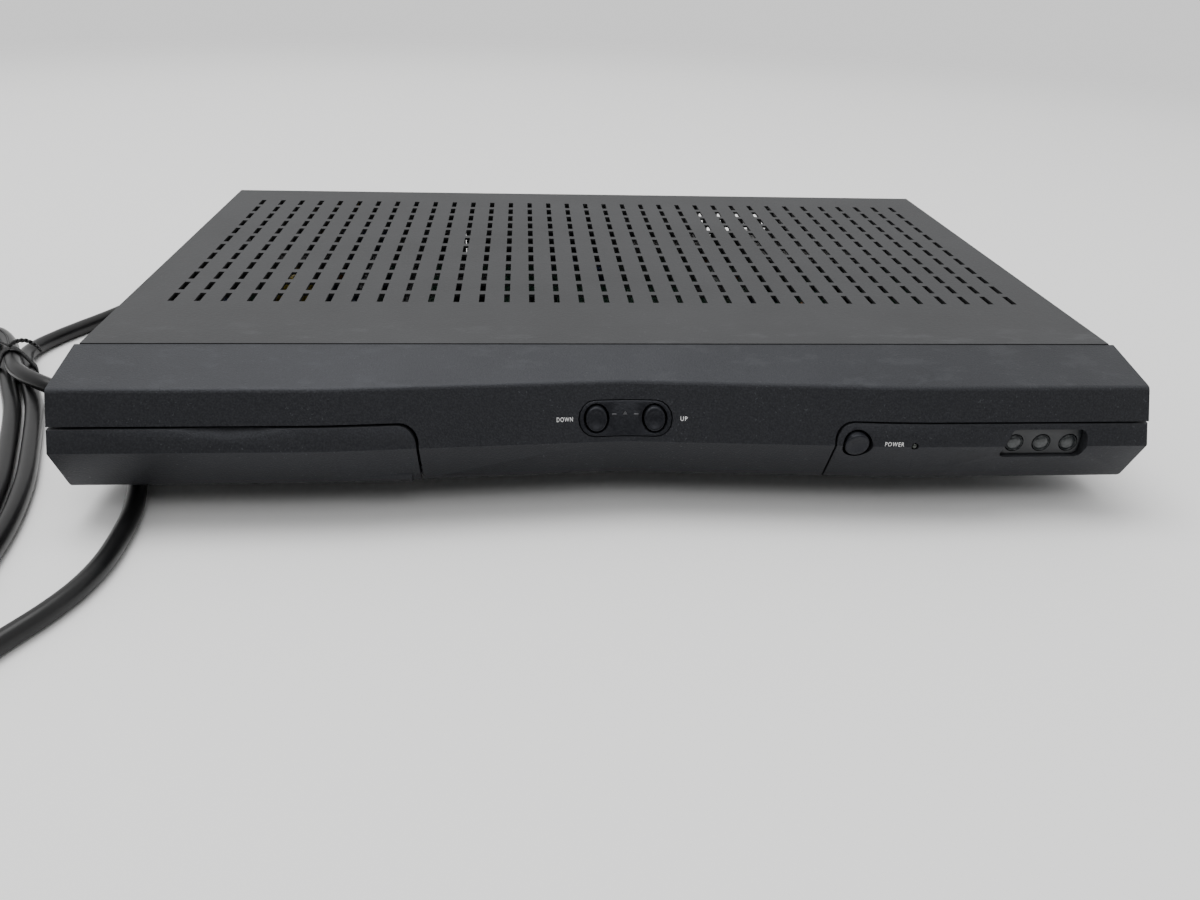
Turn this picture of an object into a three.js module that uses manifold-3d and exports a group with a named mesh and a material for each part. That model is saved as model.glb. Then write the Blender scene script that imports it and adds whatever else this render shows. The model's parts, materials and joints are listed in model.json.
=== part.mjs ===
// Satellite television receiver: a flat steel case with a moulded front, a flip-down card door,
// three push buttons, rear connectors and a mains lead tied in a loose hank.
// Millimetres. X runs to the right seen from the front, the front faces -Y, Z is up.
// The origin is under the middle of the case, on the surface that the feet stand on.
import * as THREE from "three";
import { mergeGeometries, mergeVertices } from "three/addons/utils/BufferGeometryUtils.js";
import Module from "manifold-3d";

const wasm = await Module();
wasm.setup();

// Case, a little narrower than the moulded front
const bezelWidth = 360;
const sideStep = 1.7;
const caseWidth = bezelWidth - 2 * sideStep;
const coverDepth = 206.6;
const caseTop = 52;
const sheetSteel = 1;
const footHeight = 9.7;
const seat = 0.3;
const panFloor = footHeight + seat;
const fit = 0.4;
const overrun = 5;

// Vent pattern in the cover
const ventColumnPitch = 9.525;
const ventRowPitch = 12.5;
const ventWidth = 2.2;
const ventLength = 8.8;
const ventMargin = 45;
const ventSideMargin = 16;
const ventRearMargin = 20;
const ventColumns = Math.floor((caseWidth - 2 * ventSideMargin) / ventColumnPitch) + 1;
const ventRows = Math.floor((coverDepth - ventMargin - ventRearMargin) / ventRowPitch) + 1;

// Moulded front, as a side outline with a shallow valley across its middle
const noseDepth = 34;
const connectorReach = 11;
const seamDrop = 0.8;
const browReach = 25.2;
const browDrop = 5;
const creaseDrop = 23;
const chinDrop = 40.3;
const chinSetback = 8.9;
const browRound = 2.2;
const chinRound = 3.4;
const bezelWall = 2.8;
const faciaWall = 2.2;
const tightestRound = 0.5;
const tabWidth = 14;
const tabReach = 11;
const tabThickness = 2;
const tabShares = [-0.7, -0.178, 0.333, 0.833];
const valleyDepth = 5.9;
const valleyHalfWidth = 94;
const valleyApexRound = 3;
const frontMiddle = 1.7;

const overallDepth = noseDepth + coverDepth + connectorReach;
const noseY = -overallDepth / 2;
const seamY = noseY + noseDepth;
const rearY = seamY + coverDepth;
const creaseZ = caseTop - creaseDrop;
const chinZ = caseTop - chinDrop;
const coverInside = caseTop - sheetSteel;

// Split line of the front: a card door on the left, a control insert on the right
const splitZ = 36.1;
const doorShare = 0.3766;
const insertShare = 0.3894;
const splitCorner = 6.3;
const doorGap = 0.9;
const insertGap = 0.7;
const hingeClearance = 1.2;

// Card door and its bay
const pinRadius = 1;
const pinHole = 1.4;
const eyeRadius = 2.3;
const eyeRoom = 2.75;
const barrelRadius = 3.2;
const cheekThickness = 2.4;
const bayDepth = 17;
const bayWall = 2;
const scoopWidth = 38;
const scoopDepth = 1.6;
const scoopSlope = 0.95;
const cardInset = 55;
const cardSlotWidth = 56;
const cardSlotHeight = 1.6;
const cardSlotZ = 25;

// Channel buttons in a racetrack plate
const plateWidth = 31.5;
const plateHeight = 11.2;
const plateZ = 35.9;
const plateGap = 0.35;
const ledge = 1.4;
const channelButtonSpacing = 19.3;
const channelButtonWidth = 7;
const channelButtonHeight = 7.4;
const buttonClearance = 0.75;
const buttonProud = 0.8;
const buttonTravel = 1.2;
const buttonRim = 0.8;
const rimThickness = 1.5;
const stemRadius = 1.6;

// Power button, its light and the sensor window in the insert
const powerButtonInset = 7.05;
const powerButtonZ = 28.9;
const powerButtonWidth = 8.4;
const powerButtonClearance = 0.9;
const lightSpacing = 19.2;
const lightRadius = 1;
const lightClearance = 0.25;
const windowInset = 21.7;
const windowWidth = 29.1;
const windowTop = 34.1;
const windowBottom = 23.5;
const windowSlant = 3.4;
const windowShoulder = 28.4;
const windowCorner = 2;
const windowRecess = 4.3;
const windowThickness = 2;
const windowFrame = 1.8;
const windowLedge = 1.4;
const lensZ = 28.2;
const lensInset = 14;
const lensSpacing = 9.6;
const lensRadius = 3;
const lensProud = 0.5;

// Front circuit board and what is on it
const boardThickness = 1.6;
const frontBoardSetback = 7.8;
const frontBoardReach = 37.7;
const frontBoardInset = 20;
const frontBoardTop = 44;
const postRadius = 2.6;
const postZ = 41;
const postInset = 5;
const middlePostInset = 10;
const switchSize = 6;
const switchDepth = 3.5;
const plungerRadius = 1.7;
const plungerReach = 1.2;
const receiverWidth = 6;
const receiverHeight = 7;
const receiverDepth = 5;

// Chassis tray, its feet and standoffs
const coverHem = 12;
const lipHeight = 9;
const trayFlange = 15;
const footRadius = 9;
const footTaper = 1;
const footInset = 28.9;
const frontFootInset = 17;
const rearFootInset = 24.8;
const standoffRadius = 3.2;
const standoffHeight = 6;
const floorVentLength = 24;
const floorVentWidth = 3;
const floorVentPitch = 8;
const floorVentCount = 8;
const floorVentShares = [-0.746, 0.339];
const rearVentLength = 14;
const rearVentWidth = 2.4;
const rearVentPitch = 5;
const rearVentCount = 8;
const rearVentZ = 38;
const screwShares = [-0.662, 0, 0.662];
const screwDrop = 5;
const screwHead = 3.2;
const screwHeadHeight = 2;
const screwShank = 1.4;
const screwLength = 8;
const screwHole = 1.9;

// Main board, cans and chips
const boardSide = 6;
const boardSplitShare = 0.52;
const boardGap = 6;
const mainBoardFront = 8;
const mainBoardRear = 5;
const canHeight = 16;
const canLid = 1;
const tunerInset = 30.9;
const tunerWidth = 62;
const tunerDepth = 56;
const canSpacing = 20;
const modulatorWidth = 48;
const modulatorDepth = 40;
const chipSize = 34;
const chipHeight = 2.4;
const chipShare = 0.49;
const chipSetback = 65.8;
const sinkSize = 30;
const sinkBase = 3;
const sinkHeight = 11;
const finCount = 6;
const finThickness = 1.6;
const memoryWidth = 22;
const memoryDepth = 10;
const memoryHeight = 1.4;
const memoryShare = 0.654;
const memoryPitch = 18;

// Rear connectors
const connectorZ = 27;
const coaxRadius = 4.7;
const coaxNut = 6.4;
const coaxNutThickness = 2.6;
const coaxBore = 1;
const coaxBoreDepth = 8;
const satelliteInset = 34;
const coaxInset = 12;
const jackRadius = 4.15;
const jackBore = 1.6;
const jackReach = 9;
const jackCollar = 5;
const jackCollarThickness = 1.6;
const jackPitch = 14;
const jackSpacing = 30;
const jackBlockDepth = 12;
const jackBlockHeight = 14;
const jackBlockMargin = 8;
const sVideoSpacing = 35;
const sVideoRadius = 6.6;
const sVideoBore = 4.8;
const sVideoDepth = 7;
const sVideoBlock = 14;
const phoneSpacing = 21;
const phoneWidth = 14;
const phoneHeight = 13;
const phoneDepth = 16;
const phoneMouthWidth = 10;
const phoneMouthHeight = 7;
const phoneMouthDepth = 12;
const socketProud = 1;

// Power board
const powerBoardInset = 6.9;
const powerBoardSetback = 9.9;
const transformerSize = 32;
const transformerHeight = 26;
const transformerShares = [0.487, 0.372];
const capacitorRadius = 11;
const capacitorHeight = 27;
const capacitorShares = [0.795, 0.666];
const chokeRadius = 10;
const chokeHoleRadius = 1.8;
const chokeHeight = 13;
const chokeShares = [0.282, 0.666];
const fuseRadius = 2.6;
const fuseLength = 20;
const fuseShares = [0.667, 0.872];
const heatsinkLength = 44;
const heatsinkThickness = 3;
const heatsinkHeight = 25;
const heatsinkShares = [0.923, 0.269];

// Card reader and ribbon
const readerWidth = 70;
const readerLength = 68;
const readerHeight = 8;
const readerLeg = 5;
const readerSlotDepth = 50;
const ribbonWidth = 24;
const ribbonThickness = 0.8;
const ribbonOffset = 18.3;
const ribbonReach = 16;
const ribbonArch = 14;

// Mains lead: the strain relief, the free stretch, the hank, its tie and the plug
const cordInset = 28.3;
const cordZ = 26;
const cordRadius = 3.25;
const reliefNeck = 5;
const reliefCollar = 7.5;
const reliefCollarThickness = 3;
const reliefRoot = 6;
const reliefTip = 4.3;
const reliefLength = 30;
const cordSides = 8;
const cordStep = 16;
const floorZ = 3.3;
const hankPitch = 7.6;
const hankSides = 6;
const hankStepsPerLoop = 24;
const hankTurns = 2;
const hankMinGap = 0.4;
const tieReachShare = 0.14;
const overReachShare = 0.2;
const liftStartShare = 0.24;
const liftEndShare = 0.093;
const tieLift = 1.1;
const tieClimb = 7.2;
const tieGap = 0.4;
const tieThickness = 0.6;
const tieWidth = 4;
const tieStub = 8;
const tieStubRadius = 1.3;
const tieLoopRadius = 4.5;
const tieWireRadius = 0.8;
const plugLength = 27;
const plugWidth = 22;
const plugHeight = 14;
const plugCorner = 4;
const plugNeckRadius = 5;
const plugNeckLength = 10;
const bladeLength = 17;
const bladeThickness = 1.5;
const wideBlade = 7.9;
const narrowBlade = 6.3;
const bladeSpacing = 12.7;

// Places that follow from the sizes above
const bezelHalf = bezelWidth / 2;
const cordX = cordInset - caseWidth / 2;
const cardMiddle = cardInset - bezelHalf;
const tabPlaces = tabShares.map((share) => share * bezelHalf);
const screwPlaces = screwShares.map((share) => (share * caseWidth) / 2);
const panelY = rearY - sheetSteel - fit;
const panelInsideY = panelY - sheetSteel;
const trayHalf = caseWidth / 2 - sheetSteel - fit;
const trayTop = panFloor + sheetSteel;
const boardZ = trayTop + standoffHeight + seat;
const boardTop = boardZ + boardThickness;
const onBoard = boardTop + seat;
const frontBoardY = seamY - frontBoardSetback;
const switchFrontY = frontBoardY - seat - switchDepth;
const plungerY = switchFrontY - plungerReach;
const stemEndY = plungerY - seat - buttonTravel;
const brow = [seamY - browReach, caseTop - browDrop];
const crease = [noseY, creaseZ];
const chin = [noseY + chinSetback, chinZ];
const seamTop = [seamY, caseTop - seamDrop];
const seamBottom = [seamY, chinZ];
const doorTopZ = splitZ - doorGap / 2;
const doorInnerX = frontMiddle - doorShare * bezelHalf - doorGap / 2;
const insertTopZ = splitZ - insertGap / 2;
const insertInnerX = frontMiddle + insertShare * bezelHalf + insertGap / 2;
const bayBackY = noseY + bayDepth;
const readerFrontY = bayBackY + bayWall + seat;
const readerRearY = readerFrontY + readerLength;
const powerButtonX = insertInnerX + powerButtonInset;
const lightX = powerButtonX + lightSpacing;
const windowRight = bezelHalf - windowInset;
const windowLeft = windowRight - windowWidth;
const lensMiddle = windowRight - lensInset;
const frontBoardLeft = frontMiddle - frontBoardReach;
const frontBoardRight = bezelHalf - frontBoardInset;
const postPlaces = [frontBoardLeft + postInset, insertInnerX - middlePostInset, frontBoardRight - postInset];
const ribbonX = frontMiddle + ribbonOffset;
const tunerRight = trayHalf - tunerInset;
const tunerLeft = tunerRight - tunerWidth;
const modulatorRight = tunerLeft - canSpacing;
const modulatorLeft = modulatorRight - modulatorWidth;
const satelliteX = tunerRight - satelliteInset;
const televisionX = modulatorRight - coaxInset;
const antennaX = modulatorLeft + coaxInset;
const rearVentX = (televisionX + satelliteX) / 2;
const jackMiddle = modulatorLeft - jackSpacing;
const sVideoX = jackMiddle - sVideoSpacing;
const phoneX = sVideoX - phoneSpacing;

// Finishes
const finishes = {
  steel: new THREE.MeshStandardMaterial({ color: 0x3a3a3c, roughness: 0.62, metalness: 0.35 }),
  zinc: new THREE.MeshStandardMaterial({ color: 0x9a9c9e, roughness: 0.4, metalness: 0.9 }),
  moulding: new THREE.MeshStandardMaterial({ color: 0x262729, roughness: 0.6, metalness: 0 }),
  button: new THREE.MeshStandardMaterial({ color: 0x1c1d1f, roughness: 0.42, metalness: 0 }),
  smoked: new THREE.MeshStandardMaterial({ color: 0x2a2c30, roughness: 0.18, metalness: 0 }),
  lens: new THREE.MeshStandardMaterial({ color: 0x55585c, roughness: 0.3, metalness: 0 }),
  light: new THREE.MeshStandardMaterial({ color: 0x3c4a3a, roughness: 0.25, metalness: 0 }),
  rubber: new THREE.MeshStandardMaterial({ color: 0x141415, roughness: 0.85, metalness: 0 }),
  cord: new THREE.MeshStandardMaterial({ color: 0x161617, roughness: 0.5, metalness: 0 }),
  board: new THREE.MeshStandardMaterial({ color: 0x1f5a35, roughness: 0.5, metalness: 0.05 }),
  chip: new THREE.MeshStandardMaterial({ color: 0x1b1b1d, roughness: 0.55, metalness: 0 }),
  nickel: new THREE.MeshStandardMaterial({ color: 0xc8c6c0, roughness: 0.28, metalness: 1 }),
  winding: new THREE.MeshStandardMaterial({ color: 0xb98a2c, roughness: 0.5, metalness: 0.1 }),
  sleeve: new THREE.MeshStandardMaterial({ color: 0x23304a, roughness: 0.35, metalness: 0 }),
  ribbon: new THREE.MeshStandardMaterial({ color: 0xb9bcc0, roughness: 0.6, metalness: 0 }),
};

// Solids from three.js geometries
function meshVolume(places, faces) {
  const corner = (i) => new THREE.Vector3().fromArray(places, 3 * i);
  return faces.reduce((sum, [a, b, c]) => sum + corner(a).dot(corner(b).cross(corner(c))) / 6, 0);
}

function solidOf(geometry) {
  const bare = geometry.index ? geometry : geometry.clone();
  bare.deleteAttribute("normal");
  bare.deleteAttribute("uv");
  const merged = mergeVertices(bare);
  const places = Float32Array.from(merged.attributes.position.array);
  const corners = merged.index.array;
  const faces = [];
  for (let i = 0; i < corners.length; i += 3) {
    const [a, b, c] = [corners[i], corners[i + 1], corners[i + 2]];
    if (a !== b && b !== c && c !== a) faces.push([a, b, c]);
  }
  const outward = meshVolume(places, faces) > 0;
  const triVerts = Uint32Array.from(faces.flatMap(([a, b, c]) => (outward ? [a, b, c] : [b, a, c])));
  return new wasm.Manifold(new wasm.Mesh({ numProp: 3, vertProperties: places, triVerts }));
}

function block(xs, ys, zs) {
  const geometry = new THREE.BoxGeometry(xs[1] - xs[0], ys[1] - ys[0], zs[1] - zs[0]);
  geometry.translate((xs[0] + xs[1]) / 2, (ys[0] + ys[1]) / 2, (zs[0] + zs[1]) / 2);
  return solidOf(geometry);
}

function rod(axis, radius, from, to, place, sides = 14) {
  const geometry = new THREE.CylinderGeometry(radius, radius, to - from, sides);
  const middle = (from + to) / 2;
  if (axis === "x") geometry.rotateZ(Math.PI / 2).translate(middle, place[0], place[1]);
  if (axis === "y") geometry.translate(place[0], middle, place[1]);
  if (axis === "z") geometry.rotateX(Math.PI / 2).translate(place[0], place[1], middle);
  return solidOf(geometry);
}

function outlineShape(points) {
  return new THREE.Shape(points.map(([a, b]) => new THREE.Vector2(a, b)));
}

function extrudeShape(shape, length) {
  return new THREE.ExtrudeGeometry(shape, { depth: length, bevelEnabled: false, steps: 1, curveSegments: 8 });
}

// A prism whose outline is drawn in X and Z, running along Y
function frontPrism(points, from, to) {
  const geometry = extrudeShape(outlineShape(points), to - from);
  geometry.rotateX(Math.PI / 2).translate(0, to, 0);
  return solidOf(geometry);
}

// A prism whose outline is drawn in Y and Z, running along X
function sidePrism(points, from, to) {
  const geometry = extrudeShape(outlineShape(points), to - from);
  const turn = new THREE.Matrix4().makeBasis(
    new THREE.Vector3(0, 1, 0),
    new THREE.Vector3(0, 0, 1),
    new THREE.Vector3(1, 0, 0),
  );
  geometry.applyMatrix4(turn).translate(from, 0, 0);
  return solidOf(geometry);
}

// The two ends of a length laid out about its middle
function across(middle, length) {
  return [middle - length / 2, middle + length / 2];
}

function arc(middle, radius, start, end, steps) {
  return Array.from({ length: steps + 1 }, (_, i) => {
    const angle = start + ((end - start) * i) / steps;
    return [middle[0] + radius * Math.cos(angle), middle[1] + radius * Math.sin(angle)];
  });
}

function ellipse(middle, halfWidth, halfHeight, steps = 16) {
  return Array.from({ length: steps }, (_, i) => {
    const angle = (2 * Math.PI * i) / steps;
    return [middle[0] + halfWidth * Math.cos(angle), middle[1] + halfHeight * Math.sin(angle)];
  });
}

function halfEllipse(middle, halfWidth, height, steps = 12) {
  return Array.from({ length: steps + 1 }, (_, i) => {
    const angle = (Math.PI * i) / steps;
    return [middle[0] + halfWidth * Math.cos(angle), middle[1] + height * Math.sin(angle)];
  });
}

function racetrack(middle, width, height) {
  const radius = height / 2;
  const reach = width / 2 - radius;
  return [
    ...arc([middle[0] + reach, middle[1]], radius, -Math.PI / 2, Math.PI / 2, 8),
    ...arc([middle[0] - reach, middle[1]], radius, Math.PI / 2, (3 * Math.PI) / 2, 8),
  ];
}

// A corner between two straight edges, rounded by an arc that touches both
function roundedCorner(before, corner, after, radius, steps) {
  const a = new THREE.Vector2(before[0] - corner[0], before[1] - corner[1]).normalize();
  const b = new THREE.Vector2(after[0] - corner[0], after[1] - corner[1]).normalize();
  const half = Math.acos(a.dot(b)) / 2;
  const reach = radius / Math.tan(half);
  const inward = a.clone().add(b).normalize().multiplyScalar(radius / Math.sin(half));
  const middle = new THREE.Vector2(corner[0], corner[1]).add(inward);
  const start = a.multiplyScalar(reach).sub(inward);
  const end = b.multiplyScalar(reach).sub(inward);
  const turn = Math.atan2(start.x * end.y - start.y * end.x, start.dot(end));
  return Array.from({ length: steps + 1 }, (_, i) => {
    const spoke = start.clone().rotateAround(new THREE.Vector2(0, 0), (turn * i) / steps);
    return [middle.x + spoke.x, middle.y + spoke.y];
  });
}

function roundedOutline(corners, radius, steps) {
  return corners.flatMap((corner, i) => {
    const before = corners[(i + corners.length - 1) % corners.length];
    const after = corners[(i + 1) % corners.length];
    return roundedCorner(before, corner, after, radius, steps);
  });
}

// Side outline of the front, moved inwards by a wall
function shiftedLine([from, to], inset) {
  const along = new THREE.Vector2(to[0] - from[0], to[1] - from[1]).normalize();
  const inward = [-along.y * inset, along.x * inset];
  return [
    [from[0] + inward[0], from[1] + inward[1]],
    [to[0] + inward[0], to[1] + inward[1]],
  ];
}

function meeting([a, b], [c, d]) {
  const u = [b[0] - a[0], b[1] - a[1]];
  const v = [d[0] - c[0], d[1] - c[1]];
  const t = ((c[0] - a[0]) * v[1] - (c[1] - a[1]) * v[0]) / (u[0] * v[1] - u[1] * v[0]);
  return [a[0] + u[0] * t, a[1] + u[1] * t];
}

function sideOutline(inset, rear) {
  const edges = [[seamTop, brow], [brow, crease], [crease, chin], [chin, seamBottom]];
  const [top, face, band, bottom] = edges.map((edge) => shiftedLine(edge, inset));
  const rearLine = [[rear, 0], [rear, caseTop]];
  const start = meeting(top, rearLine);
  const browCorner = meeting(top, face);
  const creaseCorner = meeting(face, band);
  const chinCorner = meeting(band, bottom);
  const end = meeting(bottom, rearLine);
  return [
    start,
    ...roundedCorner(start, browCorner, creaseCorner, Math.max(browRound - inset, tightestRound), 3),
    creaseCorner,
    ...roundedCorner(creaseCorner, chinCorner, end, Math.max(chinRound - inset, tightestRound), 4),
    end,
  ];
}

// Depth of the valley at x: a soft V that eases out at both ends
const valleyEaseShare = 0.12;
const stationShares = [0.03, 0.09, 0.88, 0.94, 1, 1.06, 1.12];
function valleyAt(x) {
  const away = Math.hypot(x - frontMiddle, valleyApexRound) - valleyApexRound;
  const share = away / valleyHalfWidth;
  if (share < 1 - valleyEaseShare) return valleyDepth * (1 - share);
  if (share > 1 + valleyEaseShare) return 0;
  return (valleyDepth * (1 + valleyEaseShare - share) ** 2) / (4 * valleyEaseShare);
}

// The front as a solid, with its side outline carried from end to end and sunk into the valley
function frontSolid(inset, rear = seamY) {
  const half = bezelWidth / 2 - inset;
  const outline = sideOutline(inset, rear);
  const inner = stationShares.map((share) => share * valleyHalfWidth);
  const stations = [
    -half,
    ...inner.toReversed().map((away) => frontMiddle - away),
    frontMiddle,
    ...inner.map((away) => frontMiddle + away),
    half,
  ];
  const places = [];
  for (const x of stations) {
    for (const [y, z] of outline) {
      const weight = THREE.MathUtils.clamp((seamY - y) / browReach, 0, 1);
      places.push(x, y + valleyAt(x) * weight, z);
    }
  }
  const count = outline.length;
  const faces = [];
  for (let s = 0; s + 1 < stations.length; s += 1) {
    for (let i = 0; i < count; i += 1) {
      const j = (i + 1) % count;
      const a = s * count + i;
      const b = s * count + j;
      faces.push(a, a + count, b, b, a + count, b + count);
    }
  }
  const cap = THREE.ShapeUtils.triangulateShape(outline.map(([y, z]) => new THREE.Vector2(y, z)), []);
  const last = (stations.length - 1) * count;
  for (const [a, b, c] of cap) {
    faces.push(a, b, c);
    faces.push(last + a, last + c, last + b);
  }
  const geometry = new THREE.BufferGeometry();
  geometry.setAttribute("position", new THREE.Float32BufferAttribute(places, 3));
  geometry.setIndex(faces);
  return solidOf(geometry);
}

function frontShell(wall) {
  return frontSolid(0).subtract(frontSolid(wall, seamY + overrun));
}

// Point of the outer front surface at x and z, on the upper face or the lower band
function surfaceY(x, z) {
  const [from, to] = z > creaseZ ? [brow, crease] : [crease, chin];
  const share = (z - from[1]) / (to[1] - from[1]);
  return from[0] + (to[0] - from[0]) * share + valleyAt(x);
}

const group = new THREE.Group();
function addPart(name, solid, finish, parent = group) {
  const mesh = solid.getMesh();
  const geometry = new THREE.BufferGeometry();
  geometry.setAttribute("position", new THREE.Float32BufferAttribute(mesh.vertProperties, 3));
  geometry.setIndex(Array.from(mesh.triVerts));
  const part = new THREE.Mesh(geometry, finish);
  part.name = name;
  parent.add(part);
}

const ahead = noseY - overrun;

// Top cover: a folded steel sheet with its vent slots
function ventSlots() {
  const firstX = (-(ventColumns - 1) / 2) * ventColumnPitch;
  const firstY = seamY + ventMargin;
  const slots = [];
  for (let row = 0; row < ventRows; row += 1) {
    for (let column = 0; column < ventColumns; column += 1) {
      const slot = new THREE.BoxGeometry(ventWidth, ventLength, 2 * overrun);
      slot.translate(firstX + column * ventColumnPitch, firstY + row * ventRowPitch, caseTop);
      slots.push(slot);
    }
  }
  return solidOf(mergeGeometries(slots));
}

function makeCover() {
  const half = caseWidth / 2;
  const depth = [seamY + seat, rearY];
  let cover = block([-half, half], depth, [coverInside, caseTop]).subtract(ventSlots());
  for (const side of [-1, 1]) {
    const xs = [side * half, side * (half - sheetSteel)].sort((a, b) => a - b);
    cover = cover.add(block(xs, depth, [coverHem, coverInside]));
  }
  cover = cover.add(block([-half, half], [rearY - sheetSteel, rearY], [caseTop - lipHeight, coverInside]));
  for (const x of screwPlaces) {
    const place = [x, caseTop - screwDrop];
    cover = cover.subtract(rod("y", screwHole, rearY - sheetSteel - overrun, rearY + overrun, place, 8));
  }
  addPart("top_cover", cover, finishes.steel);
}

// Chassis tray with its flanges, rear wall, standoffs and vents
const boardSplit = -boardSplitShare * trayHalf;
const mainBoardXs = [boardSplit + boardGap, trayHalf - boardSide];
const mainBoardYs = [seamY + mainBoardFront, panelInsideY - mainBoardRear];
const powerBoardXs = [powerBoardInset - trayHalf, boardSplit];
const powerBoardYs = [readerRearY + powerBoardSetback, panelInsideY - mainBoardRear];
const chipX = betweenBy(mainBoardXs, chipShare);
const chipY = mainBoardYs[0] + chipSetback;
const memoryX = betweenBy(mainBoardXs, memoryShare);

function betweenBy([low, high], share) {
  return low + share * (high - low);
}

function onPowerBoard([acrossShare, alongShare]) {
  return [betweenBy(powerBoardXs, acrossShare), betweenBy(powerBoardYs, alongShare)];
}

function standoffPlaces(xs, ys) {
  const inset = standoffRadius;
  return [xs[0] + inset, xs[1] - inset].flatMap((x) => [ys[0] + inset, ys[1] - inset].map((y) => [x, y]));
}

function panelHole(radius, place) {
  return rod("y", radius, panelInsideY - overrun, rearY, place);
}

const rearOpenings = [
  ...[satelliteX, antennaX, televisionX].map((x) => panelHole(coaxRadius + fit, [x, connectorZ])),
  ...[-1, 0, 1].map((i) => panelHole(jackRadius + fit, [jackMiddle + i * jackPitch, connectorZ])),
  panelHole(sVideoRadius + fit, [sVideoX, connectorZ]),
  panelHole(reliefNeck + fit, [cordX, cordZ]),
  block(
    across(phoneX, phoneWidth + 2 * fit),
    [panelInsideY - overrun, rearY],
    [onBoard - fit, onBoard + phoneHeight + fit],
  ),
  ...screwPlaces.map((x) => rod("y", screwHole, panelInsideY - overrun, rearY, [x, caseTop - screwDrop], 8)),
];

function makeTray() {
  const front = seamY + seat;
  let tray = block([-trayHalf, trayHalf], [front, panelY], [panFloor, trayTop]);
  for (const side of [-1, 1]) {
    const xs = [side * trayHalf, side * (trayHalf - sheetSteel)].sort((a, b) => a - b);
    tray = tray.add(block(xs, [front, panelY], [panFloor, trayTop + trayFlange]));
  }
  tray = tray.add(block([-trayHalf, trayHalf], [panelInsideY, panelY], [panFloor, coverInside - fit]));
  for (const opening of rearOpenings) tray = tray.subtract(opening);
  for (let i = 0; i < rearVentCount; i += 1) {
    const x = rearVentX + (i - (rearVentCount - 1) / 2) * rearVentPitch;
    const z = rearVentZ;
    const [w, l] = [rearVentWidth / 2, rearVentLength / 2];
    tray = tray.subtract(block([x - w, x + w], [panelInsideY - overrun, rearY], [z - l, z + l]));
  }
  for (const middle of floorVentShares.map((share) => share * trayHalf)) {
    for (let i = 0; i < floorVentCount; i += 1) {
      const x = middle + (i - (floorVentCount - 1) / 2) * floorVentPitch;
      const [w, l] = [floorVentWidth / 2, floorVentLength / 2];
      tray = tray.subtract(block([x - w, x + w], [-l, l], [0, trayTop + overrun / 2]));
    }
  }
  const mainCorners = standoffPlaces(mainBoardXs, mainBoardYs);
  const powerCorners = standoffPlaces(powerBoardXs, powerBoardYs);
  for (const place of [...mainCorners, ...powerCorners]) {
    tray = tray.add(rod("z", standoffRadius, panFloor, trayTop + standoffHeight, place, 8));
  }
  addPart("chassis_tray", tray, finishes.zinc);
}

// Outlines of the two pieces that the split line cuts out of the front
function doorOutline(grow) {
  const left = -bezelWidth / 2 - overrun;
  const right = doorInnerX + grow;
  const top = doorTopZ + grow;
  return [
    [left, chinZ - overrun],
    [right, chinZ - overrun],
    ...arc([right - splitCorner, top - splitCorner], splitCorner, 0, Math.PI / 2, 6),
    [left, top],
  ];
}

function insertOutline(grow) {
  const left = insertInnerX - grow;
  const right = bezelWidth / 2 + overrun;
  const top = insertTopZ + grow;
  return [
    [left, chinZ - overrun],
    [right, chinZ - overrun],
    [right, top],
    ...arc([left + splitCorner, top - splitCorner], splitCorner, Math.PI / 2, Math.PI, 6),
  ];
}

// A rounded window whose upper left corner leans inwards
function windowOutline(grow) {
  const [left, right] = [windowLeft - grow, windowRight + grow];
  const [bottom, top] = [windowBottom - grow, windowTop + grow];
  const corners = [
    [left, bottom],
    [right, bottom],
    [right, top],
    [left + windowSlant, top],
    [left, windowShoulder],
  ];
  return roundedOutline(corners, windowCorner, 2);
}

// Hinge line of the door: the middle of the rounded lower edge
const bandLine = shiftedLine([crease, chin], chinRound);
const bottomLine = shiftedLine([chin, seamBottom], chinRound);
const hinge = meeting(bandLine, bottomLine);
const doorBackY = hinge[0];
const insertBackY = hinge[0] + chinRound;
const capInner = -bezelWidth / 2 + faciaWall;
const cheekOuter = capInner + fit;
const cheekInner = cheekOuter + cheekThickness;
const barrelLeft = cheekInner + fit;
const barrelRight = doorInnerX - bezelWall;
const bayRight = doorInnerX + doorGap;
const plateMiddle = [frontMiddle, plateZ];
const downX = frontMiddle - channelButtonSpacing / 2;
const upX = frontMiddle + channelButtonSpacing / 2;

// A ring behind an opening, on which the piece in that opening rests
function restingLedge(outer, inner) {
  const ring = frontPrism(outer, ahead, insertBackY).subtract(frontPrism(inner, ahead, insertBackY));
  const depth = frontSolid(faciaWall + seat, seamY + overrun);
  return depth.subtract(frontSolid(faciaWall + seat + ledge, seamY + overrun)).intersect(ring);
}

function shrunkInsert() {
  const [left, top] = [insertInnerX + ledge + insertGap, insertTopZ - ledge - insertGap];
  return [
    [left, chinZ - overrun],
    [bezelHalf + overrun, chinZ - overrun],
    [bezelHalf + overrun, top],
    ...arc([left + splitCorner, top - splitCorner], splitCorner, Math.PI / 2, Math.PI, 6),
  ];
}

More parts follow.
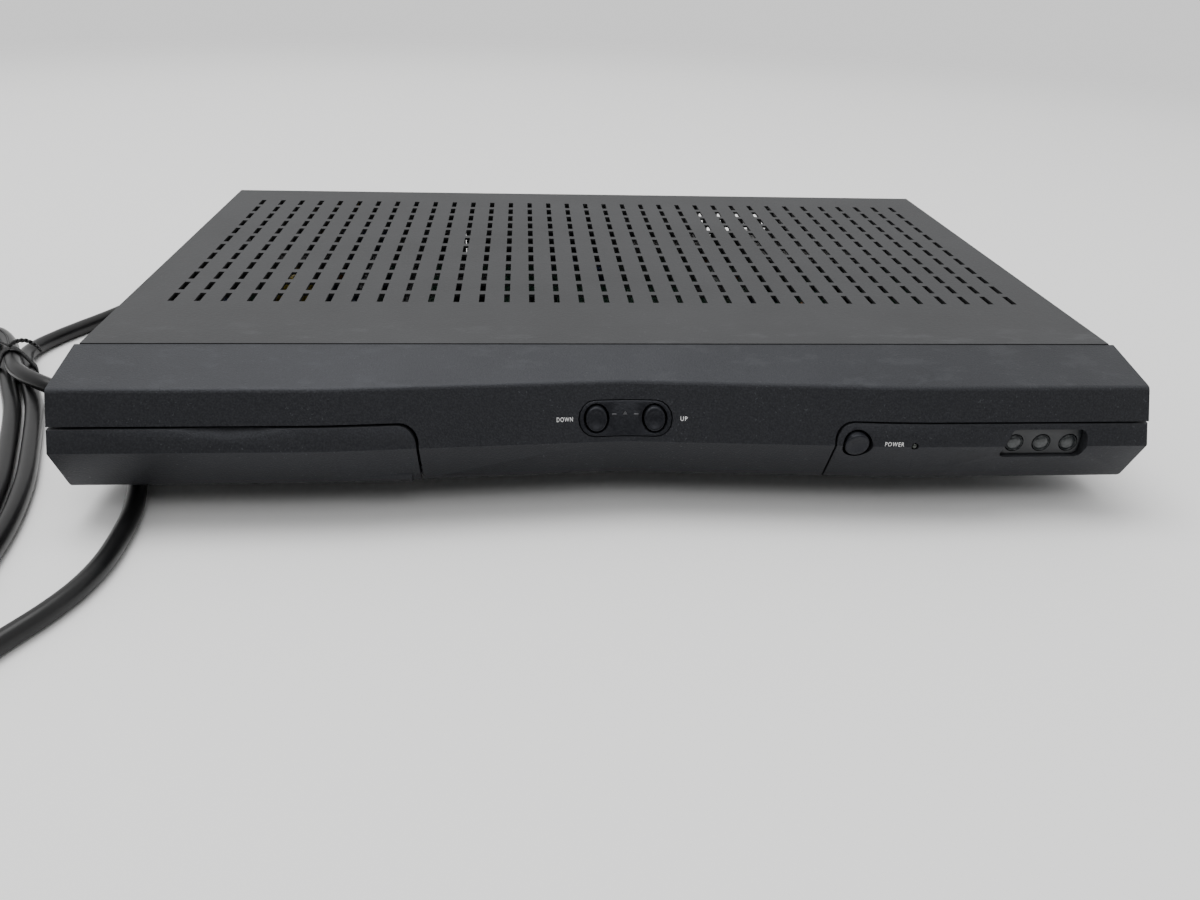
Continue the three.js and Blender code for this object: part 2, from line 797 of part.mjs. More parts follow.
// The room behind the door: walls, ceiling and two cheeks, of which the left one carries the pin
function makeBay() {
  const roomTop = doorTopZ + doorGap;
  const ys = [ahead, bayBackY + bayWall];
  const zs = [chinZ, roomTop + bayWall];
  const within = frontSolid(bezelWall / 2, seamY + overrun);
  const ceiling = block([cheekOuter, bayRight + bayWall], ys, [roomTop, roomTop + bayWall]);
  const rightWall = block([bayRight, bayRight + bayWall], ys, zs);
  const backXs = [cheekOuter - tightestRound, bayRight + bayWall];
  const backWall = block(backXs, [bayBackY, bayBackY + bayWall], zs);
  const plate = block([cheekOuter, cheekInner], ys, [hinge[1] + seat, roomTop + bayWall]);
  const behindDoor = frontSolid(faciaWall + fit, seamY + overrun);
  const cheek = plate.intersect(behindDoor).add(rod("x", eyeRadius, cheekOuter, cheekInner, hinge, 16));
  return ceiling.add(rightWall).add(backWall).intersect(within).add(cheek);
}

function makeBezel() {
  const doorRoomY = doorBackY + fit;
  const curlRoomY = hinge[0] + chinRound + hingeClearance;
  const earRadius = chinRound + fit;
  const within = frontSolid(bezelWall / 2, seamY + overrun);
  let bezel = frontShell(bezelWall);
  bezel = bezel.subtract(frontPrism(doorOutline(doorGap), ahead, doorRoomY));
  bezel = bezel.subtract(block([cheekOuter, bayRight], [ahead, curlRoomY], [0, hinge[1] + chinRound]));
  bezel = bezel.subtract(rod("x", earRadius, -bezelWidth / 2 - overrun, cheekOuter, hinge, 24));
  bezel = bezel.subtract(frontPrism(insertOutline(insertGap), ahead, insertBackY + fit));
  bezel = bezel.subtract(frontPrism(racetrack(plateMiddle, plateWidth, plateHeight), ahead, insertBackY));
  bezel = bezel.add(makeBay());
  for (const x of postPlaces) {
    const post = rod("y", postRadius, ahead, frontBoardY - seat, [x, postZ], 12);
    bezel = bezel.add(post.intersect(within));
  }
  for (const x of tabPlaces) {
    const xs = [x - tabWidth / 2, x + tabWidth / 2];
    const low = trayTop + seat;
    bezel = bezel.add(block(xs, [seamY - tabReach, seamY + tabReach], [low, low + tabThickness]));
  }
  const windowRoom = frontPrism(windowOutline(windowFrame + seat), ahead, insertBackY);
  bezel = bezel.add(restingLedge(insertOutline(insertGap + ledge), shrunkInsert()).subtract(windowRoom));
  const plateHole = racetrack(plateMiddle, plateWidth - 2 * ledge, plateHeight - 2 * ledge);
  const plateRing = racetrack(plateMiddle, plateWidth + 2 * ledge, plateHeight + 2 * ledge);
  bezel = bezel.add(restingLedge(plateRing, plateHole));
  const slot = [cardMiddle - cardSlotWidth / 2, cardMiddle + cardSlotWidth / 2];
  const slotZs = [cardSlotZ - cardSlotHeight / 2, cardSlotZ + cardSlotHeight / 2];
  bezel = bezel.subtract(block(slot, [bayBackY - overrun, bayBackY + overrun], slotZs));
  bezel = bezel.subtract(rod("x", pinHole, cheekOuter - seat, bayRight + bayWall + overrun, hinge, 12));
  addPart("front_bezel", bezel, finishes.moulding);
}

// A finger scoop in the top edge: a wide shallow arc that slopes back up through the wall
function fingerScoop() {
  const chord = scoopWidth / 2;
  const radius = (chord ** 2 + scoopDepth ** 2) / (2 * scoopDepth);
  const faceY = surfaceY(cardMiddle, doorTopZ);
  const reach = faceY - ahead;
  const [wide, narrow] = [radius + reach * scoopSlope, radius - faciaWall * scoopSlope];
  const cone = new THREE.CylinderGeometry(narrow, wide, reach + faciaWall, 72);
  cone.translate(cardMiddle, ahead + (reach + faciaWall) / 2, doorTopZ - scoopDepth + radius);
  return solidOf(cone);
}

function makeDoor() {
  let door = frontShell(faciaWall).intersect(frontPrism(doorOutline(0), ahead, doorBackY));
  door = door.subtract(fingerScoop());
  door = door.subtract(rod("x", eyeRoom, capInner, barrelLeft, hinge, 16));
  door = door.add(rod("x", chinRound, -bezelWidth / 2, capInner, hinge, 20));
  door = door.add(rod("x", barrelRadius, barrelLeft, barrelRight, hinge, 16));
  door = door.add(rod("x", pinRadius, capInner - tightestRound, bayRight + bayWall - seat, hinge, 12));
  addPart("card_door", door, finishes.moulding);
}

function makeInsert() {
  let insert = frontShell(faciaWall).intersect(frontPrism(insertOutline(0), ahead, insertBackY));
  const windowBackY = noseY + windowRecess + windowThickness + seat;
  const frameBackY = windowBackY + windowFrame;
  const frame = frontPrism(windowOutline(windowFrame), ahead, frameBackY);
  const frameRoom = frontPrism(insertOutline(0), ahead, insertBackY).intersect(frontSolid(faciaWall / 2));
  insert = insert.add(frame.intersect(frameRoom));
  insert = insert.subtract(frontPrism(windowOutline(0), ahead, windowBackY));
  insert = insert.subtract(frontPrism(windowOutline(-windowLedge), ahead, frameBackY + overrun));
  const holeRadius = powerButtonWidth / 2 + powerButtonClearance;
  insert = insert.subtract(rod("y", holeRadius, ahead, insertBackY, [powerButtonX, powerButtonZ], 28));
  insert = insert.subtract(rod("y", lightRadius + lightClearance, ahead, insertBackY, [lightX, creaseZ], 12));
  addPart("right_fascia", insert, finishes.moulding);
}

function makePlate() {
  const size = [plateWidth - 2 * plateGap, plateHeight - 2 * plateGap];
  const outline = racetrack(plateMiddle, ...size);
  let plate = frontShell(faciaWall).intersect(frontPrism(outline, ahead, insertBackY));
  for (const x of [downX, upX]) {
    const half = [channelButtonWidth / 2 + buttonClearance, channelButtonHeight / 2 + buttonClearance];
    plate = plate.subtract(frontPrism(ellipse([x, plateZ], ...half), ahead, insertBackY));
  }
  addPart("channel_plate", plate, finishes.button);
}

// A push button: a cap that follows the front, a rim behind the opening and a stem
function makeButton(name, x, z, width, height, clearance) {
  const half = [width / 2, height / 2];
  const rimHalf = [half[0] + clearance + buttonRim, half[1] + clearance + buttonRim];
  const backmost = surfaceY(x, z + rimHalf[1]) + faciaWall + seat + ledge + buttonRim;
  const rimY = Math.min(backmost, stemEndY - rimThickness - seat);
  const outline = ellipse([x, z], ...half, 18);
  const cap = frontPrism(outline, ahead, rimY + rimThickness).intersect(frontSolid(-buttonProud));
  const rim = frontPrism(ellipse([x, z], ...rimHalf, 16), rimY, rimY + rimThickness);
  const stem = rod("y", stemRadius, rimY, stemEndY, [x, z], 12);
  addPart(name, cap.add(rim).add(stem), finishes.button);
}

function makeButtons() {
  const channel = [channelButtonWidth, channelButtonHeight, buttonClearance];
  makeButton("down_button", downX, plateZ, ...channel);
  makeButton("up_button", upX, plateZ, ...channel);
  const power = [powerButtonWidth, powerButtonWidth, powerButtonClearance];
  makeButton("power_button", powerButtonX, powerButtonZ, ...power);
}

function makeWindow() {
  const frontY = noseY + windowRecess;
  const backY = frontY + windowThickness;
  let pane = frontPrism(windowOutline(-seat), frontY, backY);
  for (const [name, i] of [["left_lens", -1], ["middle_lens", 0], ["right_lens", 1]]) {
    const place = [lensMiddle + i * lensSpacing, lensZ];
    pane = pane.subtract(rod("y", lensRadius + seat, frontY - overrun, backY + overrun, place, 16));
    addPart(name, rod("y", lensRadius, frontY - lensProud, backY, place, 16), finishes.lens);
  }
  addPart("sensor_window", pane, finishes.smoked);
}

function makeLight() {
  const light = rod("y", lightRadius, noseY + seat, frontBoardY - seat, [lightX, creaseZ], 12);
  addPart("power_light", light, finishes.light);
}

// Front board with its switches and receiver
function makeFrontBoard() {
  const boardZs = [chinZ + bezelWall + seat, frontBoardTop];
  const boardYs = [frontBoardY, frontBoardY + boardThickness];
  addPart("front_board", block([frontBoardLeft, frontBoardRight], boardYs, boardZs), finishes.board);
  const switches = [
    ["down_switch", downX, plateZ],
    ["up_switch", upX, plateZ],
    ["power_switch", powerButtonX, powerButtonZ],
  ];
  for (const [name, x, z] of switches) {
    const body = block(across(x, switchSize), [switchFrontY, frontBoardY - seat], across(z, switchSize));
    const plunger = rod("y", plungerRadius, plungerY, switchFrontY + seat, [x, z], 12);
    addPart(name, body.add(plunger), finishes.chip);
  }
  const depth = [frontBoardY - seat - receiverDepth, frontBoardY - seat];
  const receiver = block(across(lensMiddle, receiverWidth), depth, across(lensZ, receiverHeight));
  addPart("infrared_receiver", receiver, finishes.smoked);
}

// Feet and cover screws
function makeFeet() {
  const ys = { front: seamY + frontFootInset, rear: rearY - rearFootInset };
  for (const [end, y] of Object.entries(ys)) {
    for (const [side, sign] of [["left", -1], ["right", 1]]) {
      const geometry = new THREE.CylinderGeometry(footRadius, footRadius - footTaper, footHeight, 20);
      geometry.rotateX(Math.PI / 2).translate(sign * (trayHalf - footInset), y, footHeight / 2);
      addPart(`foot_${end}_${side}`, solidOf(geometry), finishes.rubber);
    }
  }
}

function makeScrews() {
  const names = ["cover_screw_left", "cover_screw_middle", "cover_screw_right"];
  screwPlaces.forEach((x, i) => {
    const place = [x, caseTop - screwDrop];
    const headY = rearY + seat;
    const head = rod("y", screwHead, headY, headY + screwHeadHeight, place, 12);
    const shank = rod("y", screwShank, headY - screwLength, headY + sheetSteel, place, 8);
    addPart(names[i], head.add(shank), finishes.nickel);
  });
}

// Main board, its cans, chips and heatsink
function makeMainBoard() {
  addPart("main_board", block(mainBoardXs, mainBoardYs, [boardZ, boardTop]), finishes.board);
  const cans = [
    ["tuner_can", tunerLeft, tunerRight, tunerDepth],
    ["modulator_can", modulatorLeft, modulatorRight, modulatorDepth],
  ];
  for (const [name, left, right, depth] of cans) {
    const ys = [panelInsideY - seat - depth, panelInsideY - seat];
    const top = onBoard + canHeight;
    const inner = block([left + canLid, right - canLid], [ys[0] + canLid, ys[1] - canLid], [onBoard, top]);
    const lid = block([left, right], ys, [top - canHeight / 2, top]);
    addPart(name, inner.add(lid), finishes.nickel);
  }
  const chip = block(across(chipX, chipSize), across(chipY, chipSize), [onBoard, onBoard + chipHeight]);
  addPart("decoder_chip", chip, finishes.chip);
  const sinkZ = onBoard + chipHeight + seat;
  const sinkYs = across(chipY, sinkSize);
  let sink = block(across(chipX, sinkSize), sinkYs, [sinkZ, sinkZ + sinkBase]);
  for (let i = 0; i < finCount; i += 1) {
    const left = chipX - sinkSize / 2 + (i * (sinkSize - finThickness)) / (finCount - 1);
    sink = sink.add(block([left, left + finThickness], sinkYs, [sinkZ, sinkZ + sinkHeight]));
  }
  addPart("decoder_heatsink", sink, finishes.chip);
  for (const [name, i] of [["memory_chip_front", 0], ["memory_chip_rear", 1]]) {
    const ys = across(chipY + (i - 1 / 2) * memoryPitch, memoryDepth);
    addPart(name, block(across(memoryX, memoryWidth), ys, [onBoard, onBoard + memoryHeight]), finishes.chip);
  }
}

// Threaded coaxial connectors, each with its nut outside the panel
function makeCoax(name, x) {
  const place = [x, connectorZ];
  const end = panelY + fit + sheetSteel + connectorReach;
  const nutY = panelY + seat;
  const body = rod("y", coaxRadius, panelInsideY, end, place, 16);
  const nut = rod("y", coaxNut, nutY, nutY + coaxNutThickness, place, 6);
  const bore = rod("y", coaxBore, end - coaxBoreDepth, end + overrun, place, 8);
  addPart(name, body.add(nut).subtract(bore), finishes.nickel);
}

// Audio and video jacks in a moulded block
function makeJacks() {
  const half = jackPitch + jackBlockMargin;
  const ys = [panelInsideY - seat - jackBlockDepth, panelInsideY - seat];
  const zs = [onBoard, onBoard + jackBlockHeight];
  let jackBlock = block([jackMiddle - half, jackMiddle + half], ys, zs);
  const jacks = [["video_jack", -1], ["left_audio_jack", 0], ["right_audio_jack", 1]];
  for (const [name, i] of jacks) {
    const place = [jackMiddle + i * jackPitch, connectorZ];
    const root = ys[1] - jackBlockDepth / 2;
    jackBlock = jackBlock.subtract(rod("y", jackRadius + seat, root, ys[1] + overrun, place));
    const end = panelY + jackReach;
    const barrel = rod("y", jackRadius, root + seat, end, place);
    const collar = rod("y", jackCollar, panelY + seat, panelY + seat + jackCollarThickness, place);
    const bore = rod("y", jackBore, root + sheetSteel, end + overrun, place, 8);
    addPart(name, barrel.add(collar).subtract(bore), finishes.nickel);
  }
  addPart("jack_block", jackBlock, finishes.chip);
}

function makeSockets() {
  const depth = [panelInsideY - seat - sVideoBlock, panelInsideY - seat];
  const end = panelY + socketProud;
  const place = [sVideoX, connectorZ];
  const body = block(across(sVideoX, sVideoBlock), depth, [onBoard, onBoard + sVideoBlock]);
  const neck = rod("y", sVideoRadius, panelInsideY - seat - sheetSteel, end, place, 20);
  const bore = rod("y", sVideoBore, end - sVideoDepth, end + overrun, place, 20);
  addPart("s_video_socket", body.add(neck).subtract(bore), finishes.chip);
  const zs = [onBoard, onBoard + phoneHeight];
  const mouthZs = across(onBoard + phoneHeight / 2, phoneMouthHeight);
  const shell = block(across(phoneX, phoneWidth), [end - phoneDepth, end], zs);
  const mouth = block(across(phoneX, phoneMouthWidth), [end - phoneMouthDepth, end + overrun], mouthZs);
  addPart("phone_socket", shell.subtract(mouth), finishes.chip);
}

// Power board and its components
function makePowerBoard() {
  addPart("power_board", block(powerBoardXs, powerBoardYs, [boardZ, boardTop]), finishes.board);
  const half = transformerSize / 2;
  const [transformerX, transformerY] = onPowerBoard(transformerShares);
  const top = onBoard + transformerHeight;
  const core = block(across(transformerX, transformerSize), across(transformerY, half), [onBoard, top]);
  const bobbinZs = [onBoard, top - sheetSteel];
  const bobbin = block(across(transformerX, half), across(transformerY, transformerSize), bobbinZs);
  addPart("transformer", core.add(bobbin), finishes.winding);
  const capacitorPlace = onPowerBoard(capacitorShares);
  const capacitor = rod("z", capacitorRadius, onBoard, onBoard + capacitorHeight, capacitorPlace, 24);
  addPart("bulk_capacitor", capacitor, finishes.sleeve);
  const chokePlace = onPowerBoard(chokeShares);
  const ring = rod("z", chokeRadius, onBoard, onBoard + chokeHeight, chokePlace, 20);
  const bore = rod("z", chokeHoleRadius, 0, onBoard + chokeHeight + overrun, chokePlace, 16);
  addPart("mains_choke", ring.subtract(bore), finishes.winding);
  const [fuseX, fuseY] = onPowerBoard(fuseShares);
  const fuseZ = onBoard + fuseRadius;
  const fuse = rod("x", fuseRadius, ...across(fuseX, fuseLength), [fuseY, fuseZ], 12);
  addPart("mains_fuse", fuse, finishes.nickel);
  const [heatsinkX, heatsinkY] = onPowerBoard(heatsinkShares);
  const [xs, ys] = [across(heatsinkX, heatsinkThickness), across(heatsinkY, heatsinkLength)];
  addPart("power_heatsink", block(xs, ys, [onBoard, onBoard + heatsinkHeight]), finishes.zinc);
}

function makeCardReader() {
  const ys = [readerFrontY, readerRearY];
  const xs = [cardMiddle - readerWidth / 2, cardMiddle + readerWidth / 2];
  const zs = [cardSlotZ - readerHeight / 2, cardSlotZ + readerHeight / 2];
  let reader = block(xs, ys, zs);
  for (const x of [xs[0], xs[1] - readerLeg]) {
    for (const y of [seamY + mainBoardFront, ys[1] - readerLeg]) {
      reader = reader.add(block([x, x + readerLeg], [y, y + readerLeg], [trayTop + seat, zs[1]]));
    }
  }
  const slot = [cardMiddle - cardSlotWidth / 2, cardMiddle + cardSlotWidth / 2];
  const slotZs = [cardSlotZ - cardSlotHeight / 2, cardSlotZ + cardSlotHeight / 2];
  reader = reader.subtract(block(slot, [readerFrontY - overrun, readerFrontY + readerSlotDepth], slotZs));
  addPart("card_reader", reader, finishes.chip);
}

// Flat cable that arches from the front board over to the main board
function makeRibbon() {
  const start = frontBoardY + boardThickness + seat;
  const end = mainBoardYs[0] + ribbonReach;
  const middle = [(start + end) / 2, onBoard];
  const half = (end - start) / 2;
  const outer = halfEllipse(middle, half, ribbonArch);
  const inner = halfEllipse(middle, half - ribbonThickness, ribbonArch - ribbonThickness);
  const outline = [...outer, ...inner.toReversed()];
  addPart("ribbon_cable", sidePrism(outline, ...across(ribbonX, ribbonWidth)), finishes.ribbon);
}

// Strain relief: a collar inside the panel, a neck through it and a tapered sleeve outside
function makeStrainRelief() {
  const geometry = new THREE.LatheGeometry(
    [
      [0, panelInsideY - seat - reliefCollarThickness],
      [reliefCollar, panelInsideY - seat - reliefCollarThickness],
      [reliefCollar, panelInsideY - seat],
      [reliefNeck, panelInsideY - seat],
      [reliefNeck, panelY + seat],
      [reliefCollar, panelY + seat],
      [reliefCollar, panelY + seat + reliefCollarThickness],
      [reliefRoot, panelY + seat + reliefCollarThickness],
      [reliefTip, panelY + reliefLength],
      [0, panelY + reliefLength],
    ].map(([r, y]) => new THREE.Vector2(r, y)),
    16,
  );
  geometry.translate(cordX, 0, cordZ);
  addPart("strain_relief", solidOf(geometry), finishes.rubber);
}

// Free stretches of the mains lead, as points chosen by hand along its centre: the lead from the
// case to the tie, and the tail from the tie, under the case's front corner and on to the plug
const tieZ = floorZ + tieLift;
const overZ = tieZ + tieClimb;
const exitY = panelY + reliefLength + seat;
const leadRoute = [
  [cordX, 152, cordZ], [cordX - 0.4, 161.5, 25.3], [cordX - 3.4, 175.5, 22.3], [cordX - 12, 187.6, 17.8],
  [cordX - 24.5, 193.2, 13], [cordX - 38.4, 192.6, 8.8], [-200.6, 185.6, 5.6], [-208.6, 173.8, 3.9],
  [-212.6, 159, floorZ], [-215.4, 140, floorZ], [-218.4, 115, floorZ], [-222.3, 92, floorZ],
  [-228, 73, floorZ], [-235.2, 56.6, floorZ], [-242.4, 43, floorZ], [-248, 31.4, floorZ],
  [-251.3, 20, 3.7], [-251.4, 9.6, 4.2],
];
const tailRoute = [
  [-239.6, -22.4, overZ], [-232.8, -29, 11.4], [-223.6, -34.6, 10.5], [-210.5, -40, 7.6],
  [-198, -47.2, 4.7], [-186.2, -57.5, floorZ], [-175.6, -76, floorZ], [-166.9, -99, floorZ],
  [-161.6, -119.2, floorZ], [-160.1, -134.7, floorZ], [-160.3, -149.3, floorZ], [-162.5, -160.9, floorZ],
  [-166.9, -172, floorZ], [-173.5, -184, floorZ], [-181.5, -199, floorZ], [-190.3, -212.5, floorZ],
  [-203, -225.6, floorZ], [-219.5, -234.3, floorZ], [-238, -237, 5.4],
];

// The hank's loop, as points chosen by hand from the tie round and back to it
const tiePlace = [-243.5, -8];
const loopRoute = [
  tiePlace, [-235, -24], [-226, -41], [-212, -75.5], [-202.3, -102.5], [-195.2, -133], [-193, -165],
  [-198.1, -187.1], [-212.4, -204.8], [-233, -214.4], [-255.7, -214], [-276, -203.7], [-289.6, -185.5],
  [-297, -150], [-300.5, -128], [-306.5, -95], [-312.5, -58], [-316.6, -28], [-317.8, -4.5],
  [-314.4, 10.4], [-304.7, 22.3], [-290.9, 28.8], [-275.6, 28.5], [-261.9, 21.5], [-253.2, 10.4],
];

// Where the cord is in line with the plug, which lies on the surface
const plugPlace = new THREE.Vector3(-254, -237, plugHeight / 2 + seat);
const plugHeading = new THREE.Vector3(-1, 0, 0);

// A tube through rings at the given points, with its sides kept level
function tubeThrough(points, radius, sides) {
  const places = [];
  const faces = [];
  const up = new THREE.Vector3(0, 0, 1);
  points.forEach((point, i) => {
    const before = points[Math.max(i - 1, 0)];
    const after = points[Math.min(i + 1, points.length - 1)];
    const along = after.clone().sub(before).normalize();
    const across = along.clone().cross(up).normalize();
    const over = across.clone().cross(along);
    for (let k = 0; k < sides; k += 1) {
      const angle = (2 * Math.PI * (k + 1 / 2)) / sides + Math.PI / 2;
      const spoke = across.clone().multiplyScalar(radius * Math.cos(angle));
      places.push(...spoke.addScaledVector(over, radius * Math.sin(angle)).add(point));
    }
  });
  for (let i = 0; i + 1 < points.length; i += 1) {
    for (let k = 0; k < sides; k += 1) {
      const next = (k + 1) % sides;
      const [a, b, c, d] = [i * sides + k, i * sides + next, (i + 1) * sides + k, (i + 1) * sides + next];
      faces.push(a, b, c, c, b, d);
    }
  }
  const last = (points.length - 1) * sides;
  for (let k = 1; k + 1 < sides; k += 1) {
    faces.push(0, k + 1, k);
    faces.push(last, last + k, last + k + 1);
  }
  const geometry = new THREE.BufferGeometry();
  geometry.setAttribute("position", new THREE.Float32BufferAttribute(places, 3));
  geometry.setIndex(faces);
  return geometry;
}

// The loop is followed again and again, each time a pitch further in, and the last turn rides up
// over the others at the tie
function hankPoints() {
  const corners = loopRoute.map(([x, y]) => new THREE.Vector3(x, y, floorZ));
  const loop = new THREE.CatmullRomCurve3(corners, true, "centripetal");
  const points = [];
  for (let i = 0; i <= hankStepsPerLoop * hankTurns; i += 1) {
    const turns = i / hankStepsPerLoop;
    const place = loop.getPointAt(turns % 1);
    const along = loop.getTangentAt(turns % 1);
    const near = 1 - THREE.MathUtils.smoothstep(Math.abs(turns - Math.round(turns)), 0, tieReachShare);
    const over = THREE.MathUtils.smoothstep(turns, hankTurns - overReachShare, hankTurns);
    const lift = THREE.MathUtils.smoothstep(turns, hankTurns - liftStartShare, hankTurns - liftEndShare);
    const inset = hankPitch * (turns - (over * 3) / 2);
    const z = floorZ + tieLift * near + tieClimb * lift;
    points.push(new THREE.Vector3(place.x + along.y * inset, place.y - along.x * inset, z));
  }
  return withStraightEnds(points, loop.getTangentAt(0), 2 * cordRadius);
}

function withStraightEnds(points, along, reach) {
  const second = points[0].clone().addScaledVector(along, reach);
  const nearLast = points.at(-1).clone().addScaledVector(along, -reach);
  return [points[0], second, ...points.slice(1, -1), nearLast, points.at(-1)];
}

// Least distance between the surfaces of two stretches that aren't neighbours along the tube
function leastGap(points, radius) {
  const path = new THREE.CurvePath();
  for (let i = 0; i + 1 < points.length; i += 1) path.add(new THREE.LineCurve3(points[i], points[i + 1]));
  const length = path.getLength();
  const count = Math.ceil(length / radius);
  const samples = Array.from({ length: count + 1 }, (_, i) => path.getPointAt(i / count));
  const apart = 8;
  let least = Infinity;
  for (let i = 0; i < samples.length; i += 1) {
    for (let k = i + apart; k < samples.length; k += 1) {
      least = Math.min(least, samples[i].distanceTo(samples[k]));
    }
  }
  return least - 2 * radius;
}

function pathLength(points) {
  return points.slice(1).reduce((sum, point, i) => sum + point.distanceTo(points[i]), 0);
}

function stretchPoints(route) {
  const curve = new THREE.CatmullRomCurve3(route, false, "centripetal");
  return curve.getSpacedPoints(Math.ceil(curve.getLength() / cordStep));
}

// The lead and the tail meet the hank square, each in line with it for a diameter
function makeCords() {
  const hank = hankPoints();
  const along = hank[1].clone().sub(hank[0]).normalize();
  const [reach, places] = [2 * cordRadius, (route) => route.map((place) => new THREE.Vector3(...place))];
  const joint = hank[0].clone().addScaledVector(along, -seat);
  const lead = stretchPoints([...places(leadRoute), joint.clone().addScaledVector(along, -reach)]);
  const start = hank.at(-1).clone().addScaledVector(along, seat);
  const tail = stretchPoints([start.clone().addScaledVector(along, reach), ...places(tailRoute), plugPlace]);
  const end = plugPlace.clone().addScaledVector(plugHeading, reach);
  const leadPath = [new THREE.Vector3(cordX, exitY, cordZ), ...lead, joint];
  const tailPath = [start, ...tail, end];
  addPart("power_cord", solidOf(tubeThrough(leadPath, cordRadius, cordSides)), finishes.cord);
  addPart("cord_hank", solidOf(tubeThrough(hank, cordRadius, hankSides)), finishes.cord);
  addPart("cord_tail", solidOf(tubeThrough(tailPath, cordRadius, cordSides)), finishes.cord);
  const gap = leastGap(hank, cordRadius);
  const length = pathLength(leadPath) + pathLength(hank) + pathLength(tailPath);
  console.log(`cord length ${length.toFixed(0)} mm, least gap in the hank ${gap.toFixed(2)} mm`);
  if (gap < hankMinGap) console.log("the turns of the hank lie too close");
  return end;
}

// Convex outline round circles of one radius
function wrapOutline(middles, radius, steps = 12) {
  const points = middles.flatMap((middle) => ellipse(middle, radius, radius, steps));
  points.sort((a, b) => a[0] - b[0] || a[1] - b[1]);
  const turnOf = (a, b, c) => (b[0] - a[0]) * (c[1] - a[1]) - (b[1] - a[1]) * (c[0] - a[0]);
  const chain = (ordered) => {
    const kept = [];
    for (const point of ordered) {
      while (kept.length > 1 && turnOf(kept.at(-2), kept.at(-1), point) <= 0) kept.pop();
      kept.push(point);
    }
    return kept.slice(0, -1);
  };
  return [...chain(points), ...chain(points.toReversed())];
}

// Wire tie round the bundle, in its own frame: X along the cords, Y outwards from the hank
function makeTie() {
  const corners = loopRoute.map(([x, y]) => new THREE.Vector3(x, y, 0));
  const along = new THREE.CatmullRomCurve3(corners, true, "centripetal").getTangentAt(0);
  const tie = new THREE.Group();
  tie.position.set(tiePlace[0], tiePlace[1], 0);
  tie.rotation.z = Math.atan2(along.y, along.x);
  const middles = [[0, tieZ], [-hankPitch, tieZ], [-hankPitch / 2, overZ]];
  const inner = wrapOutline(middles, cordRadius + tieGap);
  const outer = wrapOutline(middles, cordRadius + tieGap + tieThickness);
  const band = sidePrism(outer, -tieWidth / 2, tieWidth / 2);
  const topZ = overZ + cordRadius + tieGap + tieThickness / 2;
  const stubZ = topZ + tieStubRadius;
  const middle = -hankPitch / 2;
  const stub = rod("y", tieStubRadius, middle - tieStub / 2, middle + tieStub, [0, stubZ], 8);
  const wire = new THREE.TorusGeometry(tieLoopRadius, tieWireRadius, 5, 12);
  wire.rotateY(Math.PI / 2).translate(0, middle, stubZ + tieLoopRadius);
  const whole = band.add(stub).add(solidOf(wire)).subtract(sidePrism(inner, -tieWidth, tieWidth));
  addPart("twist_tie", whole, finishes.rubber, tie);
  group.add(tie);
}

// Plug at the end of the tail, in its own frame: X runs out of the cord to the tips of the blades
function makePlug(end) {
  const plug = new THREE.Group();
  plug.position.copy(end);
  plug.rotation.z = Math.atan2(plugHeading.y, plugHeading.x);
  const half = [plugWidth / 2, plugHeight / 2];
  const face = seat + plugNeckLength + plugLength;
  const corners = [[-half[0], -half[1]], [half[0], -half[1]], [half[0], half[1]], [-half[0], half[1]]];
  const body = sidePrism(roundedOutline(corners, plugCorner, 3), face - plugLength, face);
  const neck = rod("x", plugNeckRadius, seat, face - plugLength / 2, [0, 0], 12);
  addPart("power_plug", body.add(neck), finishes.cord, plug);
  for (const [name, side, height] of [["wide_blade", -1, wideBlade], ["narrow_blade", 1, narrowBlade]]) {
    const y = (side * bladeSpacing) / 2;
    const ys = [y - bladeThickness / 2, y + bladeThickness / 2];
    const blade = block([face + seat, face + seat + bladeLength], ys, [-height / 2, height / 2]);
    addPart(name, blade, finishes.nickel, plug);
  }
  group.add(plug);
}

makeCover();
makeTray();
makeBezel();
makeDoor();
makeInsert();
makePlate();
makeButtons();
makeWindow();
makeLight();
makeFeet();
makeScrews();
makeMainBoard();
makeCoax("satellite_connector", satelliteX);
makeCoax("antenna_connector", antennaX);
makeCoax("tv_connector", televisionX);
makeJacks();
makeSockets();
makePowerBoard();
makeFrontBoard();
makeCardReader();
makeRibbon();
makeStrainRelief();
makePlug(makeCords());
makeTie();

export default group;
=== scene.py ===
# %% [markdown]
# # A satellite television receiver
# The receiver is a slim black box: a slotted steel cover over a steel tray, a moulded front with a
# card door, three push buttons and a small window, sockets at the back, and a mains lead that is
# still tied in a hank. The solid parts were drawn first, in CAD. They come in here as a fixed
# frame, and this lesson gives them their finishes and the finer shapes that CAD leaves out.

# %% Load the frame
import json
import math

